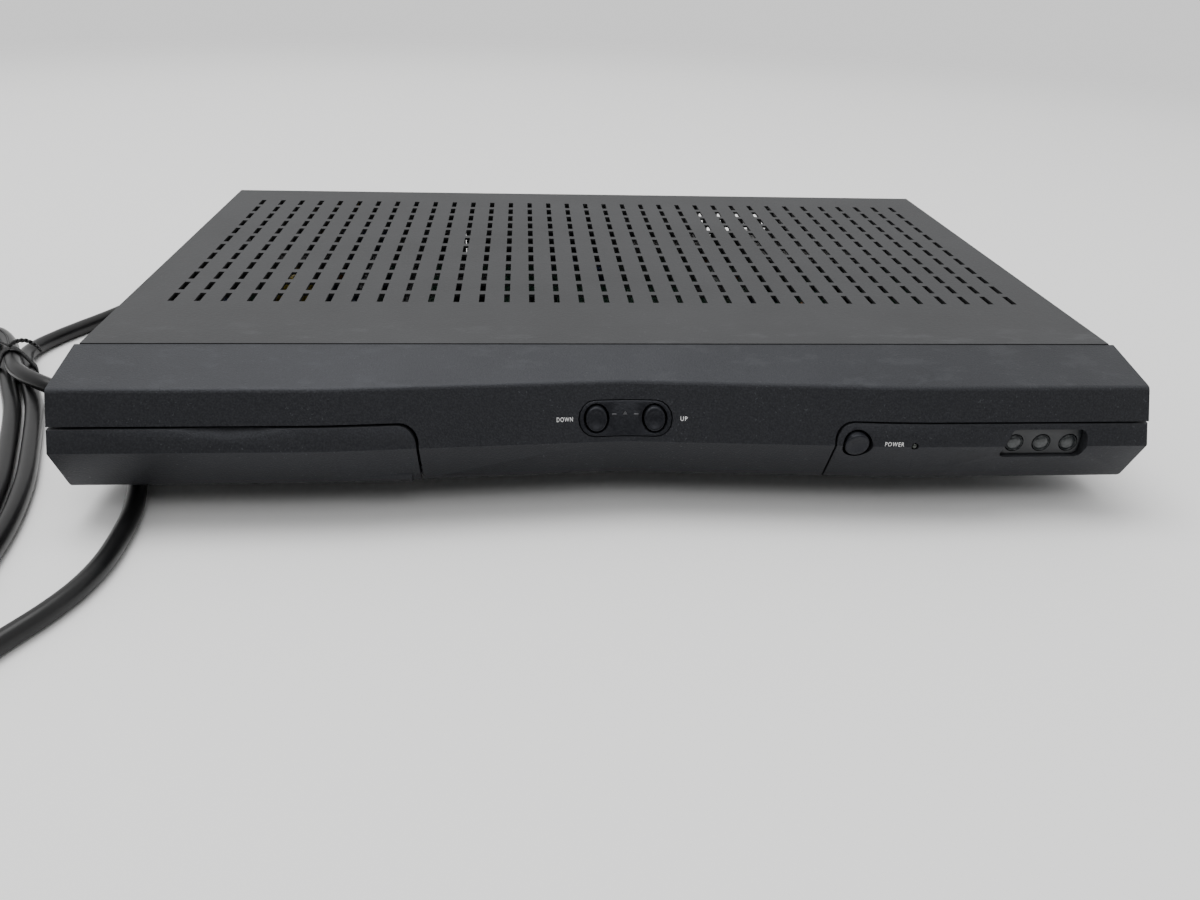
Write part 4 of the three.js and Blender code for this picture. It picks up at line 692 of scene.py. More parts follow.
def copy_of(node, name):
    """A free copy of a CAD solid, with its triangles merged into clean faces."""
    piece = nodes[node].copy()
    piece.data = nodes[node].data.copy()
    piece.name = name
    piece.parent = None
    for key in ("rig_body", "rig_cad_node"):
        if key in piece:
            del piece[key]
    bpy.context.scene.collection.objects.link(piece)
    work_on(piece)
    bpy.ops.object.mode_set(mode="EDIT")
    bpy.ops.mesh.select_all(action="SELECT")
    bpy.ops.mesh.remove_doubles(threshold=0.002 * MM)
    bpy.ops.mesh.dissolve_limited(angle_limit=math.radians(0.4))
    bpy.ops.object.mode_set(mode="OBJECT")
    return piece


def reshape(piece, move):
    """Moves each point of a piece by a rule that is given in millimetres."""
    for point in piece.data.vertices:
        point.co = move(point.co / MM) * MM
    piece.data.update()


# %% [markdown]
# An edge is picked by where it lies and by how sharply the surface turns at it. That angle is the
# one between the normals of its two faces.

# %% Round the edges
def edge_turns(piece):
    """The angle in degrees by which the surface turns at each edge."""
    around = {}
    for face in piece.data.polygons:
        for key in face.edge_keys:
            around.setdefault(key, []).append(face.normal.copy())
    sides = {edge.index: around.get(edge.key, []) for edge in piece.data.edges}
    return {i: math.degrees(n[0].angle(n[1])) if len(n) == 2 else 180 for i, n in sides.items()}


def round_edges(piece, width, wanted, segments=3):
    """Bevels the edges that a test picks by their two ends and their turn."""
    points = piece.data.vertices
    turns = edge_turns(piece)
    picked = []
    for edge in piece.data.edges:
        a, b = (points[i].co / MM for i in edge.vertices)
        if wanted(a, b, turns[edge.index]):
            picked.append(edge.index)
    work_on(piece)
    bpy.ops.object.mode_set(mode="EDIT")
    bpy.ops.mesh.select_mode(type="EDGE")
    bpy.ops.mesh.select_all(action="DESELECT")
    bpy.ops.object.mode_set(mode="OBJECT")
    for index in picked:
        piece.data.edges[index].select = True
    bpy.ops.object.mode_set(mode="EDIT")
    bpy.ops.mesh.bevel(offset=width * MM, segments=segments, profile=0.5, clamp_overlap=True)
    bpy.ops.object.mode_set(mode="OBJECT")
    print(piece.name, "rounded edges:", len(picked))


# %% [markdown]
# Every finished piece gets smooth shading, its material and the body that it moves with. If it
# stands for solids of the frame, they are hidden.

# %% Finish a piece
def finish_piece(piece, material, body="receiver_body", instead_of=(), angle=28):
    """Smooth shading below an angle, a finish, and the body that the piece rides on."""
    work_on(piece)
    bpy.ops.object.shade_smooth_by_angle(angle=math.radians(angle))
    dress(piece, material)
    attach(piece, body)
    if instead_of:
        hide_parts(*instead_of)
    print(piece.name, "has", len(piece.data.polygons), "faces")


# %% [markdown]
# ## The front, its door, its insert and the plate
# The front moulding is one long piece with openings for the others. Its edge along the seam stands
# a little above the cover, which makes the seam read as a thin dark line.

# %% The front, the door, the insert and the plate
HALF_WIDTH = 180
SEAM_Y, SEAM_Z = -91.8, 51.1
SEAM_RISE = 0.55
SPLIT_LOW, SPLIT_HIGH = 35, 37
FRONT_Y, PLATE_Y, PANE_Y = -112, -113, -121
END_ROUNDING = 1.0
EDGE_ROUNDING = 0.3


def at_an_end(a, b, turn):
    """Edges round the outline of the front's two ends, but not along the split."""
    at_end = min(abs(a.x), abs(b.x)) > HALF_WIDTH - 0.05 and min(a.y, b.y) < SEAM_Y - 0.1
    along_split = SPLIT_LOW < min(a.z, b.z) and max(a.z, b.z) < SPLIT_HIGH
    return at_end and turn > 40 and not along_split


def sharp_in_front(a, b, turn):
    """Sharp edges that show from outside."""
    return turn > 32 and max(a.y, b.y) < FRONT_Y


front = copy_of("front_bezel", "moulded_front")
lift = Vector((0, 0, SEAM_RISE))
reshape(front, lambda p: p + lift if p.z > SEAM_Z and p.y < SEAM_Y + 0.1 else p)
round_edges(front, END_ROUNDING + 0.3, at_an_end)
finish_piece(front, front_plastic, instead_of=["front_bezel"])

door = copy_of("card_door", "card_flap")
round_edges(door, END_ROUNDING, at_an_end)
round_edges(door, EDGE_ROUNDING, sharp_in_front, 2)
finish_piece(door, front_plastic, "card_door_body", ["card_door"])

insert = copy_of("right_fascia", "control_insert")
round_edges(insert, END_ROUNDING, at_an_end)
round_edges(insert, EDGE_ROUNDING, sharp_in_front, 2)
finish_piece(insert, front_plastic, instead_of=["right_fascia"])

plate = copy_of("channel_plate", "button_plate")
round_edges(plate, EDGE_ROUNDING, lambda a, b, turn: turn > 50 and max(a.y, b.y) < PLATE_Y, 2)
finish_piece(plate, button_plastic, instead_of=["channel_plate"])

pane = copy_of("sensor_window", "sensor_pane")
round_edges(pane, 0.35, lambda a, b, turn: turn > 50 and max(a.y, b.y) < PANE_Y, 2)
finish_piece(pane, smoked, instead_of=["sensor_window"])

# %% [markdown]
# ## Turned shapes
# Buttons, lenses, feet, nuts and jacks are all round. Each starts as a single point, which is
# extruded along half the outline of the piece. The spin tool then turns that line about its axis,
# as a lathe would. The normals are worked out again, because a spin can leave them facing inwards.

# %% The spin helper
AXES = {"x": Vector((1, 0, 0)), "y": Vector((0, 1, 0)), "z": Vector((0, 0, 1))}
SPOKES = {"x": Vector((0, 0, 1)), "y": Vector((1, 0, 0)), "z": Vector((1, 0, 0))}


def turned(name, axis, place, outline, steps=40):
    """A round piece from pairs of radius and height along its axis, in millimetres."""
    along, spoke, centre = AXES[axis], SPOKES[axis], Vector(place)
    points = [(centre + spoke * radius + along * height) * MM for radius, height in outline]
    clear_selection()
    bpy.ops.mesh.primitive_plane_add(size=MM, location=points[0])
    piece = bpy.context.object
    piece.name = name
    bpy.ops.object.mode_set(mode="EDIT")
    bpy.ops.mesh.select_mode(type="VERT")
    bpy.ops.mesh.merge(type="CENTER")
    for a, b in zip(points, points[1:]):
        bpy.ops.mesh.extrude_region_move(TRANSFORM_OT_translate={"value": b - a})
    bpy.ops.mesh.select_all(action="SELECT")
    bpy.ops.mesh.spin(steps=steps, angle=2 * math.pi, center=centre * MM, axis=along)
    bpy.ops.mesh.select_all(action="SELECT")
    bpy.ops.mesh.remove_doubles(threshold=0.004 * MM)
    bpy.ops.mesh.normals_make_consistent(inside=False)
    bpy.ops.object.mode_set(mode="OBJECT")
    bpy.ops.object.transform_apply(location=True, rotation=False, scale=False)
    return piece


# %% [markdown]
# Plain boxes serve for legs, pins and cans. A box gets its full size, and its scale is applied
# before its edges are rounded, because a bevel on a scaled box would come out uneven.

# %% Boxes, joining and copying
def round_all(width, segments=2):
    """Bevels every edge of the piece that is being worked on."""
    bpy.ops.object.mode_set(mode="EDIT")
    bpy.ops.mesh.select_all(action="SELECT")
    bpy.ops.mesh.bevel(offset=width * MM, segments=segments, clamp_overlap=True)
    bpy.ops.object.mode_set(mode="OBJECT")


def block(name, xs, ys, zs, rounding=0.0, segments=2):
    """A box between pairs of limits in millimetres, with its edges rounded."""
    limits = [xs, ys, zs]
    clear_selection()
    bpy.ops.mesh.primitive_cube_add(size=1, location=[sum(pair) / 2 * MM for pair in limits])
    piece = bpy.context.object
    piece.name = name
    piece.scale = [(pair[1] - pair[0]) * MM for pair in limits]
    bpy.ops.object.transform_apply(location=True, rotation=False, scale=True)
    if rounding:
        round_all(rounding, segments)
    return piece


def prism(name, sides, radius, depth, place):
    """A prism with a regular outline, whose axis runs from front to back."""
    clear_selection()
    bpy.ops.mesh.primitive_cylinder_add(
        vertices=sides, radius=radius * MM, depth=depth * MM, location=metres(*place),
        rotation=(math.radians(90), 0, 0),
    )
    bpy.ops.object.transform_apply(location=True, rotation=True, scale=True)
    piece = bpy.context.object
    piece.name = name
    return piece


def joined(name, *pieces):
    """Several meshes as one piece."""
    clear_selection()
    for piece in pieces:
        piece.select_set(True)
    bpy.context.view_layer.objects.active = pieces[0]
    bpy.ops.object.join()
    pieces[0].name = name
    return pieces[0]


def again(piece, name, move):
    """A copy of a piece with its own mesh, moved by a distance in millimetres."""
    twin = piece.copy()
    twin.data = piece.data.copy()
    twin.name = name
    bpy.context.scene.collection.objects.link(twin)
    reshape(twin, lambda p: p + Vector(move))
    return twin


# %% [markdown]
# ## The push buttons
# A button is a cap on a thin stem, with a rim behind the opening that keeps it from falling out.
# The channel buttons are oval with a shallow dish for a fingertip, and they lean back with the
# face round them. The power button is larger and stands upright where the face folds, so that its
# upper edge sticks out and catches the light.

# %% Where the outer surface of the front lies
CREASE_Y, CREASE_Z = -125.8, 29
FACE_LEAN, BAND_LEAN = 8.8 / 18, 8.9 / 17.3
VALLEY_DEPTH, VALLEY_HALF, VALLEY_MIDDLE = 5.9, 94, 1.7
VALLEY_EASE, VALLEY_APEX = 0.12, 3


def valley(x):
    """How far back the front is set at x, by its shallow valley."""
    away = math.hypot(x - VALLEY_MIDDLE, VALLEY_APEX) - VALLEY_APEX
    share = away / VALLEY_HALF
    if share < 1 - VALLEY_EASE:
        return VALLEY_DEPTH * (1 - share)
    return VALLEY_DEPTH * max(0, 1 + VALLEY_EASE - share) ** 2 / (4 * VALLEY_EASE)


def face_y(x, z):
    """The front's outer surface at x and z."""
    lean = FACE_LEAN if z > CREASE_Z else BAND_LEAN
    return CREASE_Y + abs(z - CREASE_Z) * lean + valley(x)


# %% [markdown]
# A cap is turned as if it stood upright. Its points are then slid along the stem, each by its
# height, so that the front of the cap leans with the face while its rim and its stem stay straight.

# %% The three buttons
STEM_END_Y = -106.4
STEM_RADIUS = 1.6
STEM_OVERLAP = 0.2
RIM_THICKNESS = 1.5
DISH_SHARE, DISH_DEPTH = 0.76, 0.55
EDGE_SHARE = 0.16
CURVE_STEPS = 6


def push_button(name, node, place, radius, rim, rim_y, lean, proud, stretch=1.0):
    """A dished cap that leans at its front, with its rim and its stem."""
    x, y, z = place
    rounding = radius * EDGE_SHARE
    shares = [i / CURVE_STEPS for i in range(CURVE_STEPS + 1)]
    bowl = [(radius * DISH_SHARE * t, DISH_DEPTH * (1 - t ** 2)) for t in shares]
    angles = [math.pi / 2 * i / 5 for i in range(6)]
    edge = [(radius - rounding * (1 - math.sin(a)), rounding * (1 - math.cos(a))) for a in angles]
    depth = rim_y - y + proud
    back = depth + RIM_THICKNESS
    outline = bowl + edge + [(radius, depth), (rim, depth), (rim, back), (0, back)]
    cap = turned("cap", "y", (x, y - proud, z), outline, 48)

    def leaned(p):
        share = 1 - min(max((p.y - y + proud) / depth, 0), 1)
        return Vector((p.x, p.y + (p.z - z) * lean * share, z + (p.z - z) * stretch))

    reshape(cap, leaned)
    stem_y = rim_y + RIM_THICKNESS - STEM_OVERLAP
    sides = [(0, stem_y), (STEM_RADIUS, stem_y), (STEM_RADIUS, STEM_END_Y), (0, STEM_END_Y)]
    stem = turned("stem", "y", (x, 0, z), sides, 16)
    cap = joined(name, cap, stem)
    finish_piece(cap, button_plastic, f"{node}_body", [node], 40)


CHANNEL_Z = 35.9
DOWN_X, UP_X = -7.95, 11.35
POWER_X, POWER_Z = 79.19, 28.9
for name, node, x in (("down_cap", "down_button", DOWN_X), ("up_cap", "up_button", UP_X)):
    place = (x, face_y(x, CHANNEL_Z), CHANNEL_Z)
    push_button(
        name, node, place, radius=3.5, rim=4.95, rim_y=-109.7, lean=FACE_LEAN, proud=0.85,
        stretch=1.057,
    )
power_place = (POWER_X, face_y(POWER_X, POWER_Z), POWER_Z)
push_button(
    "power_cap", "power_button", power_place, radius=4.2, rim=5.85, rim_y=-117.0, lean=-0.2,
    proud=-0.55,
)

# %% [markdown]
# ## The window's lenses and the power light
# In the window sit three cloudy discs with a raised rim, which gather the infrared light of the
# remote control. One disc is turned and copied twice. The power light is a thin rod of clear
# plastic that carries light from the board to the front, so that only its domed tip shows.

# %% Lenses and light
LENS_PLACES = {"left_lens": 134.7, "middle_lens": 144.3, "right_lens": 153.9}
LENS_Y, LENS_Z = -120, 28.2
LIGHT_X, LIGHT_Z = 98.39, 29
LENS_OUTLINE = [
    (0, -1.95), (1.3, -1.88), (2.1, -1.7), (2.5, -1.4), (2.56, -1.2), (2.66, -1.6), (2.78, -1.68),
    (2.9, -1.6), (2.95, -1.4), (2.95, 0.5), (0, 0.5),
]
disc = turned("disc", "y", (0, LENS_Y, LENS_Z), LENS_OUTLINE, 32)
for name, x in LENS_PLACES.items():
    copied = again(disc, f"{name}_disc", (x, 0, 0))
    finish_piece(copied, cloudy, instead_of=[name], angle=50)
bpy.data.objects.remove(disc)

tip = [(0, -125.3), (0.45, -125.22), (0.75, -124.95), (0.95, -124.5), (0.95, -100), (0, -100)]
light_rod = turned("light_rod", "y", (LIGHT_X, 0, LIGHT_Z), tip, 20)
finish_piece(light_rod, clear_light, instead_of=["power_light"], angle=50)

# %% [markdown]
# ## Words and marks
# Small white words beside the buttons say what they do. On the real front they are printed, so
# here each is a flat text that is turned into a mesh, laid on the leaning face, and given the
# thickness of ink.

# %% Printed words
PRINT_LIFT = 0.04
INK_THICKNESS = 0.03


def ink():
    """White printing ink, a little uneven."""
    material, shader, place = new_finish("white_ink", Specular_IOR_Level=0.3)
    worn = noise(place, 0.0006, 2.0).step(0.25, 0.5)
    feed(shader, "Base Color", worn.blend((0.35, 0.35, 0.35), (0.78, 0.78, 0.78)))
    feed(shader, "Roughness", (0.45 + worn * 0.1).clamp())
    return material


def printed_word(body, left, low, height, width, slant=0.0):
    """A word in white ink that lies on the front, between given limits in millimetres."""
    clear_selection()
    bpy.ops.object.text_add(location=(0, 0, 0))
    word = bpy.context.object
    word.data.body = body
    word.data.shear = slant
    word.data.offset = 0.004
    word.data.space_character = 1.2
    word.data.resolution_u = 4
    bpy.ops.object.convert(target="MESH")
    word = bpy.context.object
    word.name = f"printed_{body.lower()}"
    xs = [p.co.x for p in word.data.vertices]
    ys = [p.co.y for p in word.data.vertices]
    for point in word.data.vertices:
        x = left + (point.co.x - min(xs)) / (max(xs) - min(xs)) * width
        z = low + (point.co.y - min(ys)) / (max(ys) - min(ys)) * height
        point.co = Vector((x, face_y(x, z) - PRINT_LIFT, z)) * MM
    thick = word.modifiers.new("ink", "SOLIDIFY")
    thick.thickness = INK_THICKNESS * MM
    thick.offset = -1
    bpy.ops.object.modifier_apply(modifier="ink")
    finish_piece(word, white_ink)


white_ink = ink()
printed_word("DOWN", -21.1, 35.3, 1.35, 5.3)
printed_word("UP", 19.9, 35.35, 1.35, 2.3)
printed_word("POWER", 88.1, 29.15, 1.3, 6.4, 0.2)

# %% [markdown]
# Two dashes and an arrow between the channel buttons are moulded into their plate. They stand a
# fifth of a millimetre proud of it, and their lighter colour is a painted highlight.

# %% Moulded marks on the plate
MARK_Z = 37.1
ARROW_X, ARROW_Z = 1.55, 37.4
for name, x in (("left_dash", -2.1), ("right_dash", 5.2)):
    y = face_y(x, MARK_Z)
    height = (MARK_Z - 0.24, MARK_Z + 0.24)
    dash = block(name, (x - 0.75, x + 0.75), (y - 0.22, y + 0.3), height, 0.08)
    finish_piece(dash, painted_highlight_plastic)

arrow = prism("arrow_mark", 3, 0.85, 0.5, (ARROW_X, face_y(ARROW_X, MARK_Z), ARROW_Z))
finish_piece(arrow, painted_highlight_plastic)

# %% [markdown]
# ## The tie round the hank
# A plastic-coated wire holds the bundle. It's wound round all the strands a few times, so its path
# is the outline of the bundle, followed like a screw thread. The two ends are twisted together and
# one of them makes a loose loop. Everything is worked out across the bundle and then turned to it.

# %% The path of the wire
TIE_WIRE = 0.5
TIE_GAP = 0.05
TIE_TURNS = 5
TIE_WIDTH = 4.4
TURN_STEPS = 40
TWIST = 0.7
TIE_CORDS = [(0, TIE_Z), (-HANK_PITCH, TIE_Z), (-HANK_PITCH / 2, OVER_Z)]


def on_bundle(angle, reach):
    """Point of the stretched outline round the three strands, in the direction of an angle."""
    side, up = math.cos(angle), math.sin(angle)
    y, z = max(TIE_CORDS, key=lambda cord: cord[0] * side + cord[1] * up)
    return y + reach * side, z + reach * up


def tie_wires():
    """Centre lines of the wound band and of the two twisted ends, across the bundle."""
    wound_line = []
    for i in range(TIE_TURNS * TURN_STEPS + 1):
        turns = i / TURN_STEPS
        y, z = on_bundle(2 * math.pi * (turns + 0.25), CORD_RADIUS + TIE_WIRE + TIE_GAP)
        wound_line.append(Vector((TIE_WIDTH * (turns / TIE_TURNS - 0.5), y, z)))
    knot = Vector((0.5, -3.8, 16.9))
    spine = smooth_line([
        knot, Vector((1.0, -1.0, 18.4)), Vector((2.2, 2.6, 18.6)), Vector((3.6, 5.6, 16.6)),
        Vector((4.2, 7.2, 13.6)),
    ], steps=10)
    ends = []
    for phase in (0, math.pi):
        strand = []
        for i, place in enumerate(spine):
            angle = phase + i * TWIST
            away = Vector((math.cos(angle), 0, math.sin(angle)))
            strand.append(place + away * (TIE_WIRE + TIE_GAP / 2))
        ends.append(strand)
    loop = smooth_line([
        ends[0][0], Vector((-0.8, -7.2, 19.2)), Vector((-4.2, -10.4, 21.6)),
        Vector((-7.2, -9.6, 22.6)), Vector((-7.4, -6.2, 21.8)), Vector((-4.6, -4.0, 19.8)),
        ends[1][0],
    ], steps=10)
    return wound_line, [*reversed(ends[0]), *loop, *ends[1]]


# %% [markdown]
# The path is a drawing across the bundle. It's turned to the direction of the hank and gets the
# wire's thickness. The curve is then made a mesh, because it won't be edited again.

# %% The wire tie
tie_along = Vector((*hank_along[:2], 0)).normalized()
tie_out = Vector((-tie_along.y, tie_along.x, 0))


def on_the_table(place):
    """A point of the drawing across the bundle, in its real place."""
    spot = Vector((*TIE_PLACE, 0)) + tie_along * place.x + tie_out * place.y
    return Vector((spot.x, spot.y, place.z))


tie_lines = [[on_the_table(place) for place in line] for line in tie_wires()]
wire_tie = round_cord("wire_tie", tie_lines, TIE_WIRE, 3)
work_on(wire_tie)
bpy.ops.object.convert(target="MESH")
wire_tie = bpy.context.object
finish_piece(wire_tie, tie_vinyl, instead_of=["twist_tie"], angle=60)

# %% [markdown]
# ## Sockets at the back
# The threaded sockets take a coaxial plug that is screwed on. A thread is a spiral, but a row of
# rings looks the same at this size and is lighter. The jacks are rings of metal round a coloured
# insulator, whose colour says what they carry: yellow for picture, white and red for sound.

# %% Threaded sockets
PANEL_Y = 113.4
COAX_PLACES = {"satellite_connector": 112, "tv_connector": 52, "antenna_connector": 28}
SOCKET_Z = 27
NUT_RADIUS, NUT_DEPTH = 6.35, 2.6


def threaded_outline():
    """Half outline of a threaded tube with its collar, from its back to its open end."""
    outline = [(0, -1), (4.4, -1), (4.4, 2.9)]
    y = 3.1
    while y < 11.4:
        outline += [(4.25, y), (4.65, y + 0.35), (4.25, y + 0.7)]
        y += 0.75
    return outline + [(4.3, 12.1), (4.0, 12.4), (3.2, 12.4), (3.2, 11.2), (0, 11.2)]


for name, x in COAX_PLACES.items():
    tube = turned("threaded_tube", "y", (x, PANEL_Y, SOCKET_Z), threaded_outline(), 32)
    nut = prism("nut", 6, NUT_RADIUS, NUT_DEPTH, (x, PANEL_Y + SEAT + NUT_DEPTH / 2, SOCKET_Z))
    round_all(0.35)
    tube = joined(f"{name}_tube", tube, nut)
    finish_piece(tube, nickel, instead_of=[name])
    core = turned(f"{name}_core", "y", (x, PANEL_Y, SOCKET_Z), [
        (0, 11.2), (2.9, 11.2), (2.9, 11.6), (0.9, 11.6), (0.75, 11.3), (0.75, 9.0), (0, 9.0),
    ], 24)
    finish_piece(core, white_plastic)

# %% [markdown]
# A jack is a metal shell with the insulator standing in it, and a hollow for the plug's pin. Each
# insulator has a finish of its own, made from the colour in the table.

# %% Sound and picture jacks
JACKS = {
    "video_jack": (-28, "yellow", (0.75, 0.5, 0.02)),
    "left_audio_jack": (-14, "white", (0.75, 0.75, 0.73)),
    "right_audio_jack": (0, "red", (0.5, 0.02, 0.015)),
}
for name, (x, colour, tone) in JACKS.items():
    shell = turned(f"{name}_shell", "y", (x, PANEL_Y, SOCKET_Z), [
        (0, -6.5), (4.1, -6.5), (4.1, 0.3), (4.95, 0.3), (4.95, 1.7), (4.15, 1.9), (4.1, 8.6),
        (3.8, 8.95), (3.5, 8.95), (3.4, 8.6), (3.4, -5.5), (0, -5.5),
    ], 36)
    finish_piece(shell, nickel, instead_of=[name])
    ring = turned(f"{name}_ring", "y", (x, PANEL_Y, SOCKET_Z), [
        (0, -5.2), (3.3, -5.2), (3.3, 8.0), (3.1, 8.3), (1.9, 8.3), (1.7, 8.0), (1.7, -3), (0, -3),
    ], 32)
    finish_piece(ring, vinyl(f"{colour}_insulator", 0.35, tone, shine=0.4))

# %% [markdown]
# The round picture socket has four thin pins, and the telephone socket four sprung contacts. Their
# bodies are solids of the frame already, so only the metal is added.

# %% Small round and square sockets
CONTACT_PITCH = 1.25
s_shell = turned("s_video_ring", "y", (-49, PANEL_Y, SOCKET_Z), [
    (4.9, -5), (4.9, 0.95), (5.1, 1.15), (6.1, 1.15), (6.3, 0.9), (6.3, 0.2),
], 40)
finish_piece(s_shell, nickel)
pin_outline = [(0.5, -5.8), (0.5, -1.8), (0.3, -1.5), (0, -1.5)]
pin_places = [(x, PANEL_Y, z) for x in (-50.8, -47.2) for z in (25.4, 28.8)]
pins = [turned("pin", "y", place, pin_outline, 12) for place in pin_places]
finish_piece(joined("s_video_pins", *pins), gold)
contact = block("contact", (-72.35, -72.0), (104.5, 112), (22.6, 23.0), 0.05)
contacts = [contact] + [again(contact, "contact", (i * CONTACT_PITCH, 0, 0)) for i in range(1, 4)]
finish_piece(joined("phone_contacts", *contacts), gold)

# %% [markdown]
# ## Screws and feet
# The cover is held by three pan-head screws with a cross recess. The cross is cut from each head
# by two thin boxes, with a Boolean modifier. Each foot is a rubber cup with a rounded rim and a
# sunken middle, through which it is screwed to the tray.

# %% Screws and feet
SCREW_PLACES = {"cover_screw_left": -118.03, "cover_screw_middle": 0, "cover_screw_right": 118.03}
SCREW_Y, SCREW_Z = 115.1, 47
RECESS_YS = (115.9, 117.6)
RECESS_LONG, RECESS_THIN = 1.7, 0.32


def cut_away(piece, *tools):
    """Cuts the tools' shapes out of a piece and deletes them."""
    for tool in tools:
        cut = piece.modifiers.new("cut", "BOOLEAN")
        cut.object = tool
        work_on(piece)
        bpy.ops.object.modifier_apply(modifier="cut")
        bpy.data.objects.remove(tool)


SCREW_OUTLINE = [
    (0, -7.9), (0.9, -7.9), (1.35, -7.2), (1.35, 0), (3.15, 0), (3.2, 0.5), (3.0, 1.15), (2.4, 1.65),
    (1.4, 1.9), (0, 1.98),
]
for name, x in SCREW_PLACES.items():
    screw = turned(f"{name}_head", "y", (x, SCREW_Y, SCREW_Z), SCREW_OUTLINE, 32)
    arms = []
    for wide, tall in ((RECESS_THIN, RECESS_LONG), (RECESS_LONG, RECESS_THIN)):
        heights = (SCREW_Z - tall, SCREW_Z + tall)
        arms.append(block("recess", (x - wide, x + wide), RECESS_YS, heights))
    cut_away(screw, *arms)
    finish_piece(screw, nickel, instead_of=[name], angle=40)

FOOT_OUTLINE = [
    (0, 3.2), (3.4, 3.2), (3.9, 2.6), (5.0, 0.35), (5.8, 0.02), (7.3, 0.02), (7.9, 0.4), (8.15, 1.2),
    (8.85, 9.0), (8.6, 9.6), (0, 9.6),
]
for end, y in (("front", -74.8), ("rear", 90)):
    for side, x in (("left", -148), ("right", 148)):
        foot = turned(f"{end}_{side}_cup", "z", (x, y, 0), FOOT_OUTLINE, 40)
        finish_piece(foot, foot_rubber, instead_of=[f"foot_{end}_{side}"], angle=35)

# %% [markdown]
# ## Strain relief, plug and blades
# The strain relief is moulded with slits, so that it bends a little more towards its tip. Here
# each slit is a groove round it. The plug gets rounded edges and a row of grip ridges.

# %% Strain relief and plug
RINGS, RING_PITCH = 8, 2.9
ROOT_RADIUS, TAPER = 6.3, 0.26
GROOVE_DEPTH = 0.8
GRIP_PITCH = 2.6
PLUG_NECK_X = -268


def relief_outline():
    """Half outline of the ringed sleeve, from inside the panel to its tip."""
    outline = [(0, -4.2), (7.4, -4.2), (7.4, -1.4), (5, -1.4), (5, 0.35), (7.2, 0.35), (7.4, 0.8)]
    outline += [(7.4, 2.6), (7.0, 3.0)]
    for i in range(RINGS):
        y, radius = 4.2 + i * RING_PITCH, ROOT_RADIUS - i * TAPER
        groove = radius - GROOVE_DEPTH
        outline += [(radius, y), (radius - 0.08, y + 1.7), (groove, y + 1.8), (groove - 0.05, y + 2.7)]
    return outline + [(4.2, 28.4), (3.9, 29.6), (3.5, 29.9), (0, 29.9)]


relief = turned("ringed_sleeve", "y", (CORD_X, PANEL_Y, CORD_Z), relief_outline(), 36)
finish_piece(relief, socket_black, instead_of=["strain_relief"])

plug = copy_of("power_plug", "plug_body")
round_edges(plug, 0.9, lambda a, b, turn: turn > 40 and min(a.x, b.x) < PLUG_NECK_X, 3)
ridge = block("ridge", (-275.6, -274.4), (-245.5, -228.5), (13.9, 14.25), 0.12)
ridges = [again(ridge, "ridge", (-GRIP_PITCH * i, 0, 0)) for i in range(1, 6)]
plug = joined("plug_body", plug, ridge, *ridges)
finish_piece(plug, cord_vinyl, instead_of=["power_plug"])
for name in ("wide_blade", "narrow_blade"):
    blade = copy_of(name, f"{name}_bent")
    round_edges(blade, 0.35, lambda a, b, turn: turn > 60, 2)
    finish_piece(blade, brass, instead_of=[name])

# %% [markdown]
# ## Parts on the boards
# Through the slots one sees bits of metal, green lacquer and coloured parts. The big parts were
# drawn in CAD. Here they get their details, and the small ones are added: cans of capacitors with
# a bare top, ceramic discs, striped resistors and coils. Each kind is modelled once and copied.

# %% Cans and discs
BOARD_TOP = 18.95


def can(name, radius, height):
    """An electrolytic capacitor at the origin: a sleeve with a rounded foot, and a bare lid."""
    return turned(name, "z", (0, 0, BOARD_TOP), [
        (0, 0), (radius * 0.92, 0), (radius, 0.4), (radius, 0.9), (radius * 0.95, 1.2), (radius, 1.5),
        (radius, height - 0.5), (radius * 0.94, height - 0.1), (radius * 0.8, height), (0, height),
    ], 28)


def place_all(model, material, places):
    """Copies a model to each place, dresses the copies as one piece and removes the model."""
    copies = [again(model, "part", (x, y, 0)) for x, y in places]
    name = model.name
    bpy.data.objects.remove(model)
    piece = joined(name, *copies)
    finish_piece(piece, material)


SMALL_CANS = [
    (-70, -50), (-58, -52), (-76, -38), (-20, 70), (-8, 74), (6, 66), (80, 40), (92, 44),
    (150, -60), (158, -46),
]
MIDDLE_CANS = [(-60, 30), (-48, 32), (-62, 52), (-30, -58), (120, 30), (134, 26)]
SUPPLY_CANS = [(-156, -14), (-142, -18), (-118, 14), (-104, 12), (-106, -14)]
DISCS = [(-132, 78), (-140, 86), (-124, 66), (-40, 10), (-12, -30), (100, 20)]
place_all(can("small_cans", 3.2, 9), sleeve, SMALL_CANS)
place_all(can("middle_cans", 5, 14), black_sleeve, MIDDLE_CANS)
place_all(can("supply_cans", 5, 19), sleeve, SUPPLY_CANS)

disc = turned("ceramic_discs", "y", (0, 0, BOARD_TOP + 4.4), [
    (0, -1.2), (2.6, -1.2), (3.4, -0.6), (3.6, 0), (3.4, 0.6), (2.6, 1.2), (0, 1.2),
], 20)
place_all(disc, ceramic, DISCS)

# %% [markdown]
# A resistor is a striped bead with a wire at each end, and a chip is a black block with two rows
# of legs. The legs of one chip are joined first, so that they're copied as one.

# %% Resistors, chips and coils
resistor = turned("resistors", "x", (0, 0, BOARD_TOP + 1.4), [
    (0, -4.6), (0.3, -4.6), (0.3, -3.1), (0.9, -3), (1.2, -2.6), (1.2, -1.9), (1.0, -1.6), (1.0, 1.6),
    (1.2, 1.9), (1.2, 2.6), (0.9, 3), (0.3, 3.1), (0.3, 4.6), (0, 4.6),
], 12)
rows = [(x, y) for x in (-76, -64, -24, -10, 108, 124, 140) for y in (-6, 0, 6, 12)]
place_all(resistor, striped, rows)

